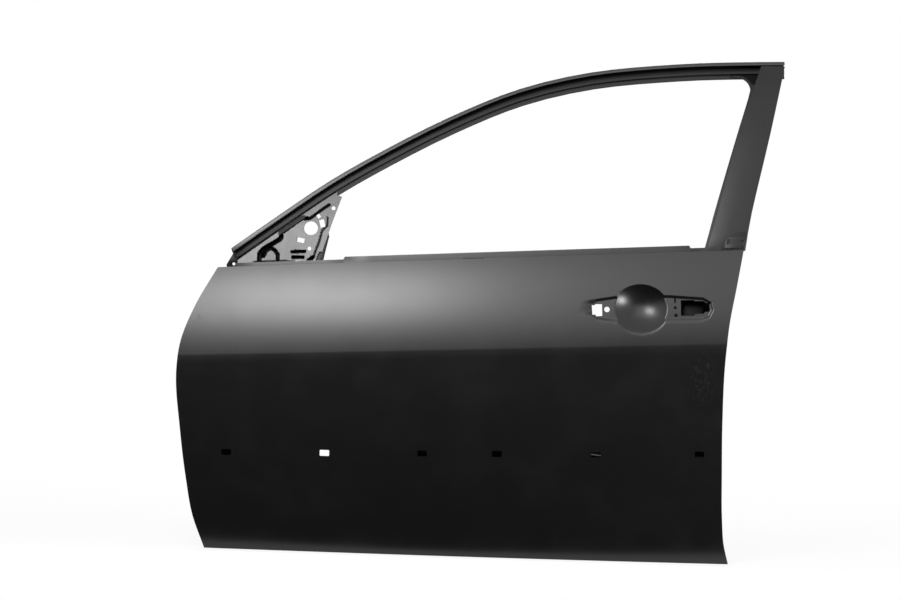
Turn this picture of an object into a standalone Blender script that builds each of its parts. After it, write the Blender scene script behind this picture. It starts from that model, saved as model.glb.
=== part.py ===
"""Front left door shell of a passenger car, bare of trim: a pressed skin hemmed round a deep
drawn inner panel, a roll formed window frame, and the reinforcements between the two sheets.

X runs rearwards, Y inboard and Z up. The origin is the middle of the upper hinge's mounting
face. Every size below is in millimetres, and MM turns it into metres where a mesh is made.
"""
import math

import bmesh
import bpy
import numpy as np
from mathutils import Matrix, Vector, geometry

MM = 0.001

# Sheet gauges and the clearance between sheets that lie on each other
SKIN_GAUGE = 0.8
INNER_GAUGE = 0.7
SASH_GAUGE = 0.8
BRACKET_GAUGE = 1.6
BELT_GAUGE = 1.0
GAP = 0.3

# Outline of the skin, seen from outside, as points (x, z) that a smooth curve runs through
BELT_FRONT_X = 46.0
BELT_FRONT_Z = 177.7
BELT_REAR_X = 1136.5
BELT_REAR_Z = 248.5
SILL_Z = -404.5
FRONT_EDGE = [(BELT_FRONT_X, BELT_FRONT_Z), (3.5, 96), (-23, 21), (-29.6, -32), (-18.6, -158),
              (-3.5, -263), (11.3, -337), (37, SILL_Z)]
REAR_EDGE = [(1124, SILL_Z), (1113, -364), (1107, -310), (1102.5, -218), (1099, -110),
             (1100.6, 25), (1107, 94), (1121, 169), (BELT_REAR_X, BELT_REAR_Z)]

# Heights and places at which the outline has a point of its own
FRONT_LEVELS = [146, 115, 85, 58, 40, 38, 20, 0, -20, -38, -40, -58, -85, -110, -132, -148, -166,
                -182, -200, -225, -250, -275, -277, -295, -315, -335, -353, -355, -374]
SILL_STEP = 66.0
REAR_LEVELS = [-350, -310, -265, -218, -165, -110, -60, -20, 10, 30, 55, 80, 100, 125, 150, 175,
               200, 225]
BELT_STEP = 52.0

# Form of the skin: a hard crease, a crowned flank over it and a flatter one under it
CREASE_FRONT_Z = -8.8
CREASE_SLOPE = 0.0525
CREASE_Y = -72.0
UPPER_LEAN = 0.105
UPPER_RADIUS = 559.0
LOWER_LEAN = 0.044
LOWER_RADIUS = 3510.0
CAMBER_MIDDLE_X = 620.0
CAMBER_RADIUS = 8000.0

# Hem and belt edge of the skin
HEM_WIDTH = 9.0
HEM_BORDER = 2.2
BELT_FLANGE_TOP = 28.0
BELT_FLANGE_FOOT = 44.0
HEM_END = 1
BELT_RETURN = 6.0
BELT_LIP = 13.0
BELT_LIP_LOW = 7.5
BELT_STRIP_FRONT_X = 82.0
BELT_STRIP_REAR_X = BELT_REAR_X - 46.5
INNER_STRIP_FRONT_X = 270.0
INNER_STRIP_REAR_X = 1020.0
BELT_LIP_START = 307.0
BELT_LIP_END = 1024.0
BELT_REACH = BELT_RETURN + SKIN_GAUGE + 1.2
BELT_RETURN_RISE = 1.4

# Outer handle: the recess, the finger cup and the holes in it
RECESS = [(815, 116), (819, 103), (833, 94), (870, 90), (980, 96), (1048, 98.5), (1067, 106),
          (1074.7, 122), (1070, 138), (1052, 147.5), (980, 150), (870, 144.5), (829, 137),
          (818, 128)]
RECESS_DEPTH = 3.5
RECESS_RAMP = 4.0
HANDLE_PLATE = (802.0, 1082.0, 78.0, 176.0, 14.0)
HANDLE_PLATE_GAUGE = 1.0
HOLE_MARGIN = 1.2
CUP_X = 923.8
CUP_Z = 119.6
CUP_HALF_LENGTH = 58.0
CUP_HALF_HEIGHT = 50.4
CUP_DEPTH = 25.0
FRONT_SLOT = [(823, 102.5), (843.4, 102.5), (843.4, 118), (839, 118), (839, 126.5), (821.5, 126.5)]
ROUND_HOLE = (853.5, 116.0, 5.6)
LATCH_HOLE = [(1005.4, 107.2), (1034, 111), (1034, 109), (1052, 113), (1065.9, 118), (1065.9, 136.7),
              (1052, 138.5), (1034, 140), (1034, 141.5), (1005.4, 141.2)]
SMALL_HOLES = [(994.5, 136.5, 2.6), (994.5, 124.0, 3.0), (995.2, 108.5, 2.8)]

# Six oblong holes for the clips of a side moulding, in a line that falls with the crease
CLIP_HOLE_X = [78.7, 281.8, 482.8, 636.6, 840.7, 1054.0]
CLIP_LINE_Z = -205.6
CLIP_LINE_SLOPE = 0.0272
CLIP_HOLE_LENGTH = 19.5
CLIP_HOLE_HEIGHT = 12.3

# Inner panel: distances in from the outline, and the depth of each step of its wall
FLANGE_EDGE = 2.6
FLANGE_BEND = 12.2
WALL_TOP = 14.0
WALL_FOOT = 16.0
PAD_MARGIN = 0.04
PAD_STEP = 0.2
PAD_SLACK = 0.08
LEDGE_INNER = 30.0
FACE_EDGE = 34.0
WALL_FOOT_Y = 36.0
LEDGE_Y = 40.0
INNER_FACE_Y = 50.0
INNER_TOP_RISE = 6.0

# Flat pads in the shut faces, each with its bolts and the plate behind it
UPPER_HINGE_Z = 0.0
LOWER_HINGE_X = 33.0
LOWER_HINGE_Z = -315.0
HINGE_BOLT_PITCH = 44.0
HINGE_BOLT_HOLE = 5.5
HINGE_PAD_MARGIN = 19.0
HINGE_PAD_HALF = HINGE_BOLT_PITCH / 2 + HINGE_PAD_MARGIN
CHECK_X = 3.0
CHECK_Z = -157.0
CHECK_BOLT_PITCH = 34.0
CHECK_BOLT_HOLE = 3.5
CHECK_PAD_MARGIN = 9.0
CHECK_PAD_HALF = CHECK_BOLT_PITCH / 2 + CHECK_PAD_MARGIN
LATCH_SETBACK = 16.6
LATCH_X = REAR_EDGE[5][0] - LATCH_SETBACK
LATCH_Z = 55.0
LATCH_BOLTS = ((18.0, 28.0), (18.0, -28.0), (-14.0, -22.0))
LATCH_BOLT_HOLE = 3.5
LATCH_PAD_MARGIN = 18.0
LATCH_PAD_HALF = LATCH_BOLTS[0][1] + LATCH_PAD_MARGIN
PLATE_CABIN_SIDE = 30.0
PLATE_CORNER = 8.0
UPPER_PLATE_SKIN_SIDE = -26.0
LOWER_PLATE_SKIN_SIDE = -13.0
CHECK_PLATE_SKIN_SIDE = -24.0
CHECK_PLATE_SLOT = (-14.0, 14.0, -8.5, 8.5, 2.0)
LATCH_PLATE_SKIN_SIDE = -36.0
LATCH_PLATE_MOUTH = (-26.0, 10.0, -6.0, 18.0, 2.0)
CHECK_SLOT_SIZE = (12.0, 26.0, 15.0)
LATCH_MOUTH_OFFSET = (-8.0, 6.0)
LATCH_MOUTH_SIZE = (12.0, 34.0, 22.0)

# Openings in the inner panel
SPEAKER_X = 262.0
SPEAKER_Z = -215.0
SPEAKER_RADIUS = 80.0
SERVICE_OPENING = (392.0, 640.0, -135.0, 130.0, 48.0)
REAR_OPENING = (700.0, 884.0, -80.0, 165.0, 42.0)
LOWER_OPENING = (700.0, 1000.0, -330.0, -230.0, 36.0)
FRONT_OPENING = (100.0, 168.0, -60.0, 90.0, 26.0)
LATCH_OPENING = (940.0, 1010.0, 10.0, 150.0, 26.0)
TRIM_HOLE_RADIUS = 4.2
TRIM_HOLES = [(90, -140), (110, -330), (370, -330), (560, -300), (1030, -290), (1052, -60),
              (1046, 190), (720, 205), (400, 185), (665, -190)]

# Window frame: the glass surface leans in over the belt, and the arch is a curve through these
SASH_SETBACK = 10.0
SASH_LEAN = 0.25
SASH_RADIUS = 1300.0
ARCH = [(70.5, 218.5), (163, 288.8), (270, 368.0), (378.7, 436.4), (515.3, 513.0), (662.2, 580.0),
        (817.3, 622.5), (1005.5, 646.5), (1125, 654.4), (1229.5, 658.6)]
ARCH_STEP = 46.0
PILLAR_FRONT = [(1010, 100), (1026, 160), (1057.4, 254), (1074, 318), (1103.5, 422), (1131, 514),
                (1150, 575), (1158, 606)]
PILLAR_STEP = 42.0
PILLAR_FRONT_COVER = [(1059.5, 246), (1078.7, 310), (1129.6, 504.4), (1165, 606), (1181, 651)]
PILLAR_REAR = [(1141.0, 246.0), (1151.5, 312.6), (1197.5, 506.7), (1231.0, 651.0)]
PILLAR_TOP_Z = 647.4
PILLAR_FOOT_RISE = -2.0
PILLAR_SASH_WIDTH = 38.0
PILLAR_CHANNEL_DEPTH = 14.0
PILLAR_CHANNEL_WIDTH = 16.0
FOOT_GAUGE = 1.2
PILLAR_FOOT = [(1097, 251), (1139, 253), (1140, 270), (1134, 278), (1101, 275)]
PILLAR_FOOT_BOLT = (1134.3, 267.0, 3.0)
PILLAR_FOOT_NOTCH = [(1102.5, 261), (1108.5, 262), (1108, 270), (1103, 271)]
SASH_BOX_WIDTH = 22.0
SASH_DEPTH = 31.5
SASH_LIP = 9.0
SASH_FLOOR_DEPTH = 15.0
SASH_INNER_LIP = 30.2
SASH_INNER_LIP_DEPTH = 21.0
SASH_CURVE_ROOM = 0.6

# Corner sheets at the front of the frame, the gusset at its rear, and the glass channels
SAIL_FRONT_X = 118.0
SAIL_REAR_X = 203.0
SAIL_FOOT_Z = 166.0
SAIL_STRIP = 18.0
SAIL_STRIP_END_X = 300.0
SAIL_LEAN_ROOM = 5.6
SAIL_BEND_TOP = 12.0
SAIL_BEND_HEIGHT = 24.0
MIRROR_OUTLINE = [(187, 197), (257, 197), (260, 218), (277.7, 277.7), (296.2, 334.6), (289, 337),
                  (240, 299), (190, 262)]
SASH_FOOT = [(62, 172), (112, 174), (112, 204), (94, 226), (76, 214), (59.5, 184)]
SASH_FOOT_HOLE = (75.0, 186.0, 3.2)
FOOT_BEND_TOP = 196.0
FOOT_BEND_HEIGHT = 14.0
GUSSET_CORNER = (1152.0, 613.0)
GUSSET_FILLET = 38.0
FRONT_CHANNEL = [(272, 262), (266, 232), (258, 190), (252, 100), (250, 0), (251, -78)]
REAR_CHANNEL = [(984, -110), (995, 0), (1008.4, 94)]
CHANNEL_DEPTH = 14.0
CHANNEL_WIDTH = 15.0
REAR_CHANNEL_SETBACK = 2.4
STRAP_WIDTH = 34.0

# Impact beam
BEAM_RADIUS = 15.0
BEAM_BORE = 12.6
BEAM_FRONT_Y = -26.0
BEAM_REAR_Y = -20.0
BEAM_FRONT_Z = -84.0
BEAM_REAR_Z = -196.0
BEAM_END_CLEARANCE = 14.0
BRACKET_LENGTH = 62.0
BRACKET_WING = 3.0
BRACKET_FLANGE = 6.0
PAD_X = [330.0, 580.0, 830.0]
PAD_LENGTH = 56.0
PAD_HEIGHT = 16.0


def remove_all():
    for obj in list(bpy.data.objects):
        bpy.data.objects.remove(obj)


def material(name, grey, roughness, metallic=0.0):
    """A coat of one grey, given as a linear value."""
    mat = bpy.data.materials.new(name)
    mat.use_nodes = True
    shader = mat.node_tree.nodes["Principled BSDF"]
    shader.inputs["Base Color"].default_value = (grey, grey, grey, 1.0)
    shader.inputs["Roughness"].default_value = roughness
    shader.inputs["Metallic"].default_value = metallic
    return mat


# Curves and outlines in the plane of X and Z

def smooth_curve(points, step):
    """A centripetal curve through the points, with a vertex about every step."""
    pts = [np.array(p, float) for p in points]
    first = 2 * pts[0] - pts[1]
    last = 2 * pts[-1] - pts[-2]
    pts = [first] + pts + [last]
    out = []
    for i in range(1, len(pts) - 2):
        p0, p1, p2, p3 = pts[i - 1:i + 3]
        t0 = 0.0
        t1 = t0 + math.sqrt(np.linalg.norm(p1 - p0))
        t2 = t1 + math.sqrt(np.linalg.norm(p2 - p1))
        t3 = t2 + math.sqrt(np.linalg.norm(p3 - p2))
        count = max(1, round(np.linalg.norm(p2 - p1) / step))
        for k in range(count):
            t = t1 + (t2 - t1) * k / count
            a1 = (t1 - t) / (t1 - t0) * p0 + (t - t0) / (t1 - t0) * p1
            a2 = (t2 - t) / (t2 - t1) * p1 + (t - t1) / (t2 - t1) * p2
            a3 = (t3 - t) / (t3 - t2) * p2 + (t - t2) / (t3 - t2) * p3
            b1 = (t2 - t) / (t2 - t0) * a1 + (t - t0) / (t2 - t0) * a2
            b2 = (t3 - t) / (t3 - t1) * a2 + (t - t1) / (t3 - t1) * a3
            out.append(tuple((t2 - t) / (t2 - t1) * b1 + (t - t1) / (t2 - t1) * b2))
    out.append(tuple(pts[-2]))
    return out


def edge_x(points, z):
    """X of a rising or falling edge at height z."""
    line = sorted((p[1], p[0]) for p in smooth_curve(points, 4.0))
    return float(np.interp(z, [p[0] for p in line], [p[1] for p in line]))


def spread(start, end, step):
    """Even steps from start to end, both included."""
    count = max(1, round(abs(end - start) / step))
    return [start + (end - start) * k / count for k in range(count + 1)]


def offset_path(path, distance, closed=False):
    """The path moved to its left by the distance, with mitred corners."""
    pts = [np.array(p, float) for p in path]
    count = len(pts)
    out = []
    for i, p in enumerate(pts):
        before = pts[i - 1] if closed or i > 0 else None
        after = pts[(i + 1) % count] if closed or i < count - 1 else None
        normals = []
        for a, b in ((before, p), (p, after)):
            if a is not None and b is not None:
                d = (b - a) / np.linalg.norm(b - a)
                normals.append(np.array((-d[1], d[0])))
        mean = sum(normals)
        mean = mean / np.linalg.norm(mean)
        out.append(tuple(p + mean * distance / max(0.4, float(mean @ normals[0]))))
    return out


def inside(loop, points):
    """Which of the points lie inside the loop."""
    pts = np.asarray(points, float)
    x, z = pts[:, 0], pts[:, 1]
    result = np.zeros(len(pts), bool)
    for (ax, az), (bx, bz) in zip(loop, list(loop[1:]) + [loop[0]]):
        crosses = (az > z) != (bz > z)
        if az != bz:
            result ^= crosses & (x < (bx - ax) * (z - az) / (bz - az) + ax)
    return result


def distance_to(segments, points):
    """Distance of each point to the nearest segment."""
    pts = np.asarray(points, float)[:, None, :]
    a = np.array([s[0] for s in segments], float)[None]
    b = np.array([s[1] for s in segments], float)[None]
    along = np.clip(((pts - a) * (b - a)).sum(2) / np.maximum(((b - a) ** 2).sum(2), 1e-9), 0, 1)
    near = a + along[..., None] * (b - a)
    return np.sqrt(((pts - near) ** 2).sum(2)).min(1)


def loop_segments(loop):
    return list(zip(loop, list(loop[1:]) + [loop[0]]))


def circle(x, z, radius, count=16):
    return [(x + radius * math.cos(2 * math.pi * k / count),
             z + radius * math.sin(2 * math.pi * k / count)) for k in range(count)]


def ellipse(x, z, half_length, half_height, count):
    return [(x + half_length * math.cos(2 * math.pi * k / count),
             z + half_height * math.sin(2 * math.pi * k / count)) for k in range(count)]


def divide(loop, step):
    """The loop with points added so that no edge is longer than about the step."""
    out = []
    for a, b in loop_segments(loop):
        count = max(1, round(math.dist(a, b) / step))
        out += [(a[0] + (b[0] - a[0]) * k / count, a[1] + (b[1] - a[1]) * k / count)
                for k in range(count)]
    return out


def rounded_box(x0, x1, z0, z1, radius, count=4):
    """A rectangle with round corners, anticlockwise."""
    out = []
    for cx, cz, start in ((x1 - radius, z1 - radius, 0), (x0 + radius, z1 - radius, 90),
                          (x0 + radius, z0 + radius, 180), (x1 - radius, z0 + radius, 270)):
        for k in range(count + 1):
            angle = math.radians(start + 90 * k / count)
            out.append((cx + radius * math.cos(angle), cz + radius * math.sin(angle)))
    return out


# Sheets

def cut_blank(outline, holes=(), guides=(), pitch=44.0, lines=()):
    """Triangles of a flat blank: its points, its faces, and the vertex of each outline point.

    Its edges follow the guides, which are loops, and the lines, which are open.
    """
    outline, *holes = [[(float(np.float32(x)), float(np.float32(z))) for x, z in loop]
                       for loop in [outline, *holes]]
    points, edges = [], []
    for loop in [outline, *holes, *guides]:
        start = len(points)
        points += [tuple(p) for p in loop]
        edges += [(start + k, start + (k + 1) % len(loop)) for k in range(len(loop))]
    for line in lines:
        start = len(points)
        points += [tuple(p) for p in line]
        edges += [(start + k, start + k + 1) for k in range(len(line) - 1)]
    segments = [(points[a], points[b]) for a, b in edges]
    low = np.min(outline, axis=0)
    high = np.max(outline, axis=0)
    lattice = []
    rows = int((high[1] - low[1]) / (pitch * 0.87)) + 1
    for row in range(rows):
        z = low[1] + pitch * 0.87 * (row + 0.5)
        x = low[0] + pitch * (0.25 + 0.5 * (row % 2))
        while x < high[0]:
            lattice.append((x, z))
            x += pitch
    if lattice:
        keep = inside(outline, lattice) & (distance_to(segments, lattice) > 0.42 * pitch)
        for hole in holes:
            keep &= ~inside(hole, lattice)
        points += [p for p, k in zip(lattice, keep) if k]
    result = geometry.delaunay_2d_cdt([Vector(p) for p in points], edges, [], 0, 1e-4)
    verts, faces, origin = result[0], result[2], result[3]
    place = {}
    for index, sources in enumerate(origin):
        for source in sources:
            place[source] = index
    middles = [sum((np.array(verts[i]) for i in face), np.zeros(2)) / 3 for face in faces]
    keep = inside(outline, middles)
    for hole in holes:
        keep &= ~inside(hole, middles)
    faces = [face for face, k in zip(faces, keep) if k]
    return [tuple(v) for v in verts], faces, [place[k] for k in range(len(outline))]


def sheet_mesh(blank, place):
    """A bmesh of the blank with each point moved by place(x, z), and its outline's vertices."""
    points, faces, rim = blank
    bm = bmesh.new()
    used = {i for face in faces for i in face}
    verts = {i: bm.verts.new(Vector(place(*points[i])) * MM) for i in sorted(used)}
    for face in faces:
        bm.faces.new([verts[i] for i in face])
    return bm, [verts[i] for i in rim]


def add_strip(bm, row, next_row, flip=False):
    """Quads between two rows of vertices."""
    for a, b, c, d in zip(row, row[1:], next_row[1:], next_row):
        bm.faces.new((d, c, b, a) if flip else (a, b, c, d))


def finish(name, bm, mat, gauge=None, side=-1.0):
    """The object of a bmesh, with its gauge given to a sheet."""
    bmesh.ops.remove_doubles(bm, verts=bm.verts, dist=1e-6)
    bm.normal_update()
    mesh = bpy.data.meshes.new(name)
    bm.to_mesh(mesh)
    bm.free()
    mesh.shade_smooth()
    mesh.set_sharp_from_angle(angle=math.radians(28))
    mesh.materials.append(mat)
    obj = bpy.data.objects.new(name, mesh)
    bpy.context.scene.collection.objects.link(obj)
    if gauge:
        solid = obj.modifiers.new("gauge", 'SOLIDIFY')
        solid.thickness = gauge * MM
        solid.offset = side
        solid.use_even_offset = True
    return obj


def drill(obj, cutter):
    """Cuts the holes of the cutter out of the object."""
    cut = obj.modifiers.new("holes", 'BOOLEAN')
    cut.object = cutter
    cut.operation = 'DIFFERENCE'


def sweep(name, mat, stations, profile, gauge, side):
    """A folded strip along stations of (place, across, inboard); profile(k) is its section."""
    bm = bmesh.new()
    rows = []
    for k, (place, across, inboard) in enumerate(stations):
        section = profile(k) if callable(profile) else profile
        rows.append([bm.verts.new((place + across * a + inboard * b) * MM) for a, b in section])
    for row, next_row in zip(rows, rows[1:]):
        add_strip(bm, row, next_row)
    return finish(name, bm, mat, gauge, side)


# Surfaces of the door

def crease_z(x):
    return CREASE_FRONT_Z + CREASE_SLOPE * (x - FRONT_EDGE[3][0])


def belt_z(x):
    slope = (BELT_REAR_Z - BELT_FRONT_Z) / (BELT_REAR_X - BELT_FRONT_X)
    return BELT_FRONT_Z + slope * (x - BELT_FRONT_X)


def skin_y(x, z):
    """The skin's outer face, without the recess of the handle."""
    rise = z - crease_z(x)
    if rise > 0:
        form = UPPER_LEAN * rise + rise ** 2 / (2 * UPPER_RADIUS)
    else:
        form = -LOWER_LEAN * rise + rise ** 2 / (2 * LOWER_RADIUS)
    return CREASE_Y + form + (x - CAMBER_MIDDLE_X) ** 2 / (2 * CAMBER_RADIUS)


def handle_depth(x, z):
    """How far the handle's recess and cup are drawn in."""
    reach = ((x - CUP_X) / CUP_HALF_LENGTH) ** 2 + ((z - CUP_Z) / CUP_HALF_HEIGHT) ** 2
    cup = CUP_DEPTH * max(0.0, 1 - reach)
    lobe = 0.0
    if inside(RECESS, [(x, z)])[0]:
        edge = distance_to(loop_segments(RECESS), [(x, z)])[0]
        lobe = RECESS_DEPTH * min(1.0, edge / RECESS_RAMP)
    return max(cup, lobe)


def skin_form(x, z):
    return skin_y(x, z) + handle_depth(x, z)


def sash_y(x, z):
    """The outer face of the window frame, which lies beside the glass."""
    rise = z - belt_z(x)
    return SASH_SETBACK + SASH_LEAN * rise + rise ** 2 / (2 * SASH_RADIUS)


def sash_normal(x, z):
    step = 1.0
    fx = (sash_y(x + step, z) - sash_y(x - step, z)) / (2 * step)
    fz = (sash_y(x, z + step) - sash_y(x, z - step)) / (2 * step)
    return Vector((-fx, 1.0, -fz)).normalized()


def behind_sash(x, z, depth):
    """Y of the surface that lies depth behind the frame's outer face."""
    return sash_y(x, z) + depth / sash_normal(x, z).y


def sash_stations(path):
    """Place, direction across and inboard direction at each point of a path (x, z)."""
    places = [Vector((x, sash_y(x, z), z)) for x, z in path]
    out = []
    for k, (x, z) in enumerate(path):
        ahead = places[min(k + 1, len(path) - 1)]
        back = places[max(k - 1, 0)]
        inboard = sash_normal(x, z)
        across = inboard.cross((ahead - back).normalized()).normalized()
        out.append((places[k], across, inboard))
    return out


# Outlines shared by the skin and the inner panel

def lower_outline():
    """From the belt at the front, down, along the sill, and up to the belt at the rear."""
    front = [(BELT_FRONT_X, BELT_FRONT_Z)] + [(edge_x(FRONT_EDGE, z), z) for z in FRONT_LEVELS]
    sill = [(x, SILL_Z) for x in spread(FRONT_EDGE[-1][0], REAR_EDGE[0][0], SILL_STEP)]
    rear = [(edge_x(REAR_EDGE, z), z) for z in REAR_LEVELS] + [(BELT_REAR_X, BELT_REAR_Z)]
    return front + sill + rear


def belt_line(rise=0.0, start=BELT_REAR_X, end=BELT_FRONT_X):
    return [(x, belt_z(x) + rise) for x in spread(start, end, BELT_STEP)]


def clip_holes(margin=0.0):
    out = []
    for x in CLIP_HOLE_X:
        z = CLIP_LINE_Z + CLIP_LINE_SLOPE * x
        half_x = CLIP_HOLE_LENGTH / 2 + margin
        half_z = CLIP_HOLE_HEIGHT / 2 + margin
        out.append(rounded_box(x - half_x, x + half_x, z - half_z, z + half_z, 1.6, 1))
    return out


def handle_holes(margin=0.0):
    """Holes in the recess, grown by the margin for the plate behind."""
    loops = [FRONT_SLOT, LATCH_HOLE]
    loops = [offset_path(loop, -margin, closed=True) for loop in loops]
    loops += [circle(x, z, r + margin, 10) for x, z, r in [ROUND_HOLE, *SMALL_HOLES]]
    return loops


def outer_skin(mat):
    lower = lower_outline()
    outline = lower + belt_line()[1:-1]
    front_x = edge_x(FRONT_EDGE, crease_z(FRONT_EDGE[3][0]))
    rear_x = edge_x(REAR_EDGE, crease_z(REAR_EDGE[5][0]))
    crease = [(x, crease_z(x)) for x in spread(front_x + 0.5, rear_x - 0.5, 50.0)]
    flange = wall_row(lower, WALL_TOP, PAD_STEP)[1:-1]
    border = offset_path(lower, HEM_BORDER)[1:-1]
    waist = [[(x, belt_z(x) - fall) for x in spread(BELT_STRIP_FRONT_X, BELT_STRIP_REAR_X, BELT_STEP)]
             for fall in (BELT_FLANGE_TOP, BELT_FLANGE_FOOT)]
    rings = [ellipse(CUP_X, CUP_Z, CUP_HALF_LENGTH * k, CUP_HALF_HEIGHT * k, n)
             for k, n in ((1.0, 32), (0.8, 24), (0.55, 16), (0.28, 8))]
    ramp = offset_path(RECESS, RECESS_RAMP, closed=True)
    blank = cut_blank(outline, clip_holes() + handle_holes(), [RECESS, ramp, *rings],
                      lines=[crease, flange, border, *waist])
    bm, rim = sheet_mesh(blank, lambda x, z: (x, skin_form(x, z), z))
    fold_hem(bm, lower, rim[:len(lower)])
    turn_belt(bm, rim[len(lower) - 1:] + rim[:1])
    return finish("outer_skin", bm, mat, SKIN_GAUGE)


def fold_hem(bm, lower, rim):
    """The edge turned inboard and back over the flange of the inner panel."""
    height = 2 * SKIN_GAUGE + INNER_GAUGE + 2 * GAP
    inner = offset_path(lower, HEM_WIDTH)
    keep = range(HEM_END, len(lower) - HEM_END)
    edge = [rim[k] for k in keep]
    wall = [bm.verts.new(v.co + Vector((0, height, 0)) * MM) for v in edge]
    lip = [bm.verts.new(Vector((inner[k][0], skin_y(*inner[k]) + height, inner[k][1])) * MM)
           for k in keep]
    add_strip(bm, edge, wall, flip=True)
    add_strip(bm, wall, lip, flip=True)


def turn_belt(bm, rim):
    """The top edge turned inboard over the belt reinforcement."""
    turned = [bm.verts.new(v.co + Vector((0, BELT_RETURN, BELT_RETURN_RISE)) * MM) for v in rim]
    add_strip(bm, rim, turned, flip=True)


def shut_pads():
    """Flat pads as (plane of the cavity side, lowest z, highest z, at the front)."""
    hinge = INNER_GAUGE
    return [(hinge, UPPER_HINGE_Z - HINGE_PAD_HALF, UPPER_HINGE_Z + HINGE_PAD_HALF, True),
            (LOWER_HINGE_X + hinge, LOWER_HINGE_Z - HINGE_PAD_HALF,
             LOWER_HINGE_Z + HINGE_PAD_HALF, True),
            (CHECK_X + hinge, CHECK_Z - CHECK_PAD_HALF, CHECK_Z + CHECK_PAD_HALF, True),
            (LATCH_X - hinge, LATCH_Z - LATCH_PAD_HALF, LATCH_Z + LATCH_PAD_HALF, False)]


def wall_row(lower, distance, pad_step=None):
    """The outline moved in by a distance, and on the pads to their planes and a step more."""
    row = offset_path(lower, distance)
    middle = (FRONT_EDGE[-1][0] + REAR_EDGE[0][0]) / 2
    for k, (x, z) in enumerate(lower):
        for plane, low, high, at_front in shut_pads():
            if pad_step is not None and low <= z <= high and (x < middle) == at_front:
                row[k] = (plane + (pad_step if at_front else -pad_step), z)
    return row


def apply_modifiers(obj):
    """Gives the object the mesh that its modifiers make."""
    evaluated = obj.evaluated_get(bpy.context.evaluated_depsgraph_get())
    mesh = bpy.data.meshes.new_from_object(evaluated)
    obj.modifiers.clear()
    obj.data = mesh


def level_pads(panel):
    """Sets the mounting faces exactly on their planes, which the gauge misses by microns."""
    for point in panel.data.vertices:
        x, y, z = point.co / MM
        for plane, low, high, at_front in shut_pads():
            face = plane - INNER_GAUGE if at_front else plane + INNER_GAUGE
            near = abs(x - face) < PAD_SLACK and y < WALL_FOOT_Y + INNER_GAUGE
            if near and low - INNER_GAUGE < z < high + INNER_GAUGE:
                point.co.x = face * MM


def inner_panel(mat):
    lower = lower_outline()[:-1]
    flange_y = SKIN_GAUGE + GAP
    edge = wall_row(lower, FLANGE_EDGE)
    bend = wall_row(lower, FLANGE_BEND)
    top = wall_row(lower, WALL_TOP, PAD_STEP)
    foot = wall_row(lower, WALL_FOOT, PAD_STEP)
    ledge = wall_row(lower, LEDGE_INNER)
    face = wall_row(lower, FACE_EDGE)
    outline = face + belt_line(INNER_TOP_RISE, face[-1][0] - 18, face[0][0] + 18)
    holes = [circle(SPEAKER_X, SPEAKER_Z, SPEAKER_RADIUS, 28)]
    holes += [rounded_box(*box) for box in (SERVICE_OPENING, REAR_OPENING, LOWER_OPENING,
                                            FRONT_OPENING, LATCH_OPENING)]
    holes += [circle(x, z, TRIM_HOLE_RADIUS, 8) for x, z in TRIM_HOLES]
    blank = cut_blank(outline, holes, (), 64.0)
    bm, rim = sheet_mesh(blank, lambda x, z: (x, INNER_FACE_Y, z))
    rows = [[bm.verts.new(Vector((x, skin_y(x, z) + flange_y, z)) * MM) for x, z in row]
            for row in (edge, bend, top)]
    for share in (PAD_MARGIN, 1 - PAD_MARGIN):
        level = wall_row(lower, WALL_TOP + (WALL_FOOT - WALL_TOP) * share, 0.0)
        heights = [(1 - share) * a.co.y / MM + share * WALL_FOOT_Y for a in rows[2]]
        rows.append([bm.verts.new(Vector((x, y, z)) * MM) for (x, z), y in zip(level, heights)])
    rows += [
        [bm.verts.new(Vector((x, WALL_FOOT_Y, z)) * MM) for x, z in foot],
        [bm.verts.new(Vector((x, LEDGE_Y, z)) * MM) for x, z in ledge],
        rim[:len(lower)]]
    for row, next_row in zip(rows, rows[1:]):
        add_strip(bm, row, next_row)
    panel = finish("inner_panel", bm, mat, INNER_GAUGE)
    cutter = panel_drillings()
    drill(panel, cutter)
    apply_modifiers(panel)
    bpy.data.objects.remove(cutter)
    level_pads(panel)
    return panel


def bar(bm, centre, radius, half_length, count=12):
    """A round bar along X for a cutter."""
    turn = Matrix.Rotation(math.radians(90), 4, 'Y')
    bmesh.ops.create_cone(bm, cap_ends=True, segments=count, radius1=radius * MM,
                          radius2=radius * MM, depth=2 * half_length * MM,
                          matrix=Matrix.Translation(Vector(centre) * MM) @ turn)


def bolt_places():
    """Every bolt of the shut faces: name, place on the mounting face, hole, inward sign."""
    out = []
    for name, x, z in (("upper_hinge", 0.0, UPPER_HINGE_Z), ("lower_hinge", LOWER_HINGE_X,
                                                             LOWER_HINGE_Z)):
        for k, sign in enumerate((1, -1)):
            place = (x, 0.0, z + sign * HINGE_BOLT_PITCH / 2)
            out.append((f"{name}_nut_{k + 1}", place, HINGE_BOLT_HOLE, 1))
    for k, sign in enumerate((1, -1)):
        place = (CHECK_X, 0.0, CHECK_Z + sign * CHECK_BOLT_PITCH / 2)
        out.append((f"check_nut_{k + 1}", place, CHECK_BOLT_HOLE, 1))
    for k, (y, z) in enumerate(LATCH_BOLTS):
        out.append((f"latch_nut_{k + 1}", (LATCH_X, y, LATCH_Z + z), LATCH_BOLT_HOLE, -1))
    return out


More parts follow.
